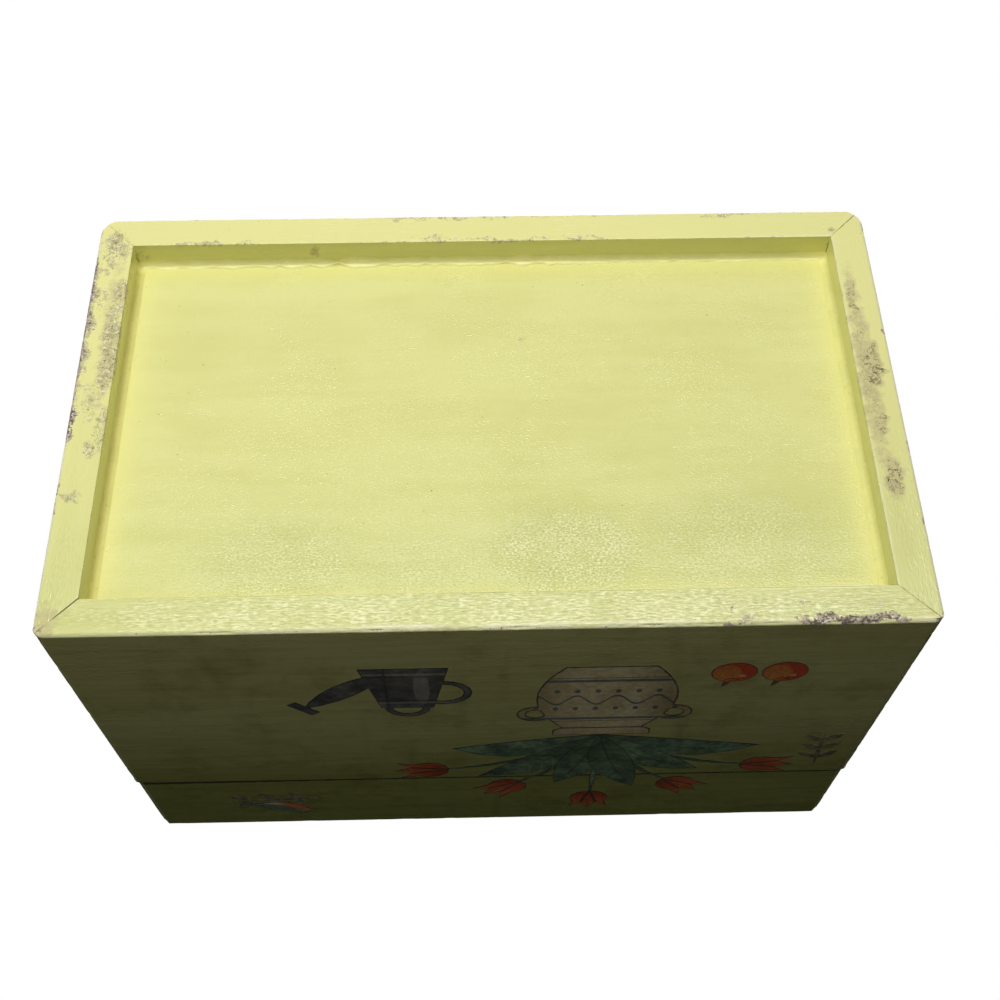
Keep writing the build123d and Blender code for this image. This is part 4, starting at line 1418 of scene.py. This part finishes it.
def can_drawing(make, place, u, v):
    shine = make.product(dab(make, u, v, -0.18, 0.5, 0.09, 0.42), 0.35)
    tone = make.total(make.noise(place, 200.0, 4.0, 0.6), shine)
    colour = make.blend(make.ramp(tone, 0.35, 0.85), rgb(0.045, 0.047, 0.052), rgb(0.22, 0.225, 0.235))
    body = make.ramp(make.magnitude(u), 0.50, 0.46)
    hoops = make.product(stroke(make, v, 0.028, 0.86, 0.14), body, 0.8)
    seam = make.product(stroke(make, u, 0.022, 0.22), body, 0.8)
    lines = make.most(stroke(make, v, 0.016, 0.80, 0.20), seam)
    return make.blend(hoops, colour, rgb(0.30, 0.29, 0.27)), make.product(lines, body, 0.95)


def apple_drawing(make, _, u, v):
    around = make.math("ARCTAN2", u, make.total(v, 1.6))
    streaks = make.streaks(make.product(around, 34.0), make.product(v, 0.8))
    sunny = make.product(dab(make, u, v, 0.30, 0.05, 0.62, 0.80), 0.30)
    tone = make.total(sunny, make.product(v, 0.10), make.ramp(streaks, 0.3, 0.7, 0.0, 0.26))
    colour = make.layered(
        make.blend(make.ramp(tone, 0.05, 0.95), rgb(0.44, 0.060, 0.030), rgb(0.72, 0.44, 0.12)),
        (make.product(dab(make, u, v, -0.38, 0.36, 0.17, 0.12), 0.65), rgb(0.78, 0.62, 0.40)),
        (make.ramp(v, 0.98, 1.06), rgb(0.10, 0.07, 0.04)),
    )
    bowl = make.total(make.product(u, u, 1.6), 0.62)
    dimple = make.product(stroke(make, v, 0.07, bowl), make.ramp(make.magnitude(u), 0.42, 0.30), 0.9)
    return colour, dimple


crock = printed("print_of_the_crock", crock_drawing)
can = printed("print_of_the_watering_can", can_drawing)
apples = printed("print_of_the_apples", apple_drawing)
print("prints:", crock.name, can.name, apples.name)


# %% Prints of the sprig, the twigs and the bird
def sprig_drawing(make, place, *_):
    tone = make.ramp(make.noise(place, 380.0, 4.0, 0.7), 0.36, 0.66)
    return make.blend(tone, rgb(0.050, 0.052, 0.036), rgb(0.24, 0.235, 0.150)), 0.0


def bird_drawing(make, _, u, v):
    feathers = make.streaks(make.product(u, 10.0), make.product(v, 34.0))
    back = make.blend(make.ramp(feathers, 0.35, 0.65), rgb(0.040, 0.075, 0.075), rgb(0.15, 0.215, 0.200))
    under = make.ramp(make.total(v, make.product(u, 0.55)), 0.045, -0.015)
    breast = make.blend(make.ramp(u, -0.12, 0.12), rgb(0.56, 0.17, 0.060), rgb(0.62, 0.54, 0.36))
    slope = make.total(v, make.product(u, 0.30))
    wing_shape = dab(make, u, slope, 0.08, 0.055, 0.235, 0.085)
    wing_core = dab(make, u, slope, 0.08, 0.055, 0.205, 0.062)
    stripes = make.math("PINGPONG", make.total(make.product(u, 9.0), make.product(v, 9.0)), 0.5)
    quills = make.product(wing_core, make.ramp(stripes, 0.12, 0.02), 0.6)
    colour = make.layered(
        back, (under, breast), (wing_core, rgb(0.10, 0.13, 0.12)),
        (make.ramp(u, -0.44, -0.46), rgb(0.34, 0.24, 0.10)),
        (dab(make, u, v, -0.335, 0.225, 0.040, 0.040), rgb(0.55, 0.50, 0.38)),
    )
    eye = dab(make, u, v, -0.335, 0.225, 0.024, 0.024)
    return colour, make.most(make.minus(wing_shape, wing_core), quills, eye)


twigs = printed("print_of_sprig_and_twigs", sprig_drawing)
bird = printed("print_of_the_bird", bird_drawing)
print("prints:", twigs.name, bird.name)

# %% Lay the papers down
APPLE_PLACES = [(-88.0, 33.0), (-72.8, 33.0)]
apple_maps = [patch(x, z, 7, 7, 12) for x, z in APPLE_PLACES]
leaf_maps = [patch(*MOUTH, 10, 10)]
papers = [
    paper_piece("crock_cutout", crock, [patch(-36, 27, 22, 55)], 0.9),
    paper_piece("watering_can_cutout", can, [patch(26, 26, 27, 30)], 0.8),
    paper_piece("apple_cutouts", apples, apple_maps, 0.5),
    paper_piece("sprig_cutout", twigs, [patch(-113, 116, 10, 10)], 0.6),
    paper_piece("base_leaf_cutouts", leaves, leaf_maps, 0.0),
    paper_piece("base_tulip_cutouts", tulips, tulip_maps, 0.9),
    paper_piece("lid_leaf_cutouts", leaves, leaf_maps, 0.0),
    paper_piece("lid_tulip_cutouts", tulips, tulip_maps, 0.9),
    paper_piece("bird_cutout", bird, [patch(78.0, 151.12, 24, 24)], 0.8),
    paper_piece("twig_cutouts", twigs, [patch(78, 144, 10, 10)], 0.6),
]
print("papers:", [(paper.name, len(paper.data.polygons)) for paper in papers])
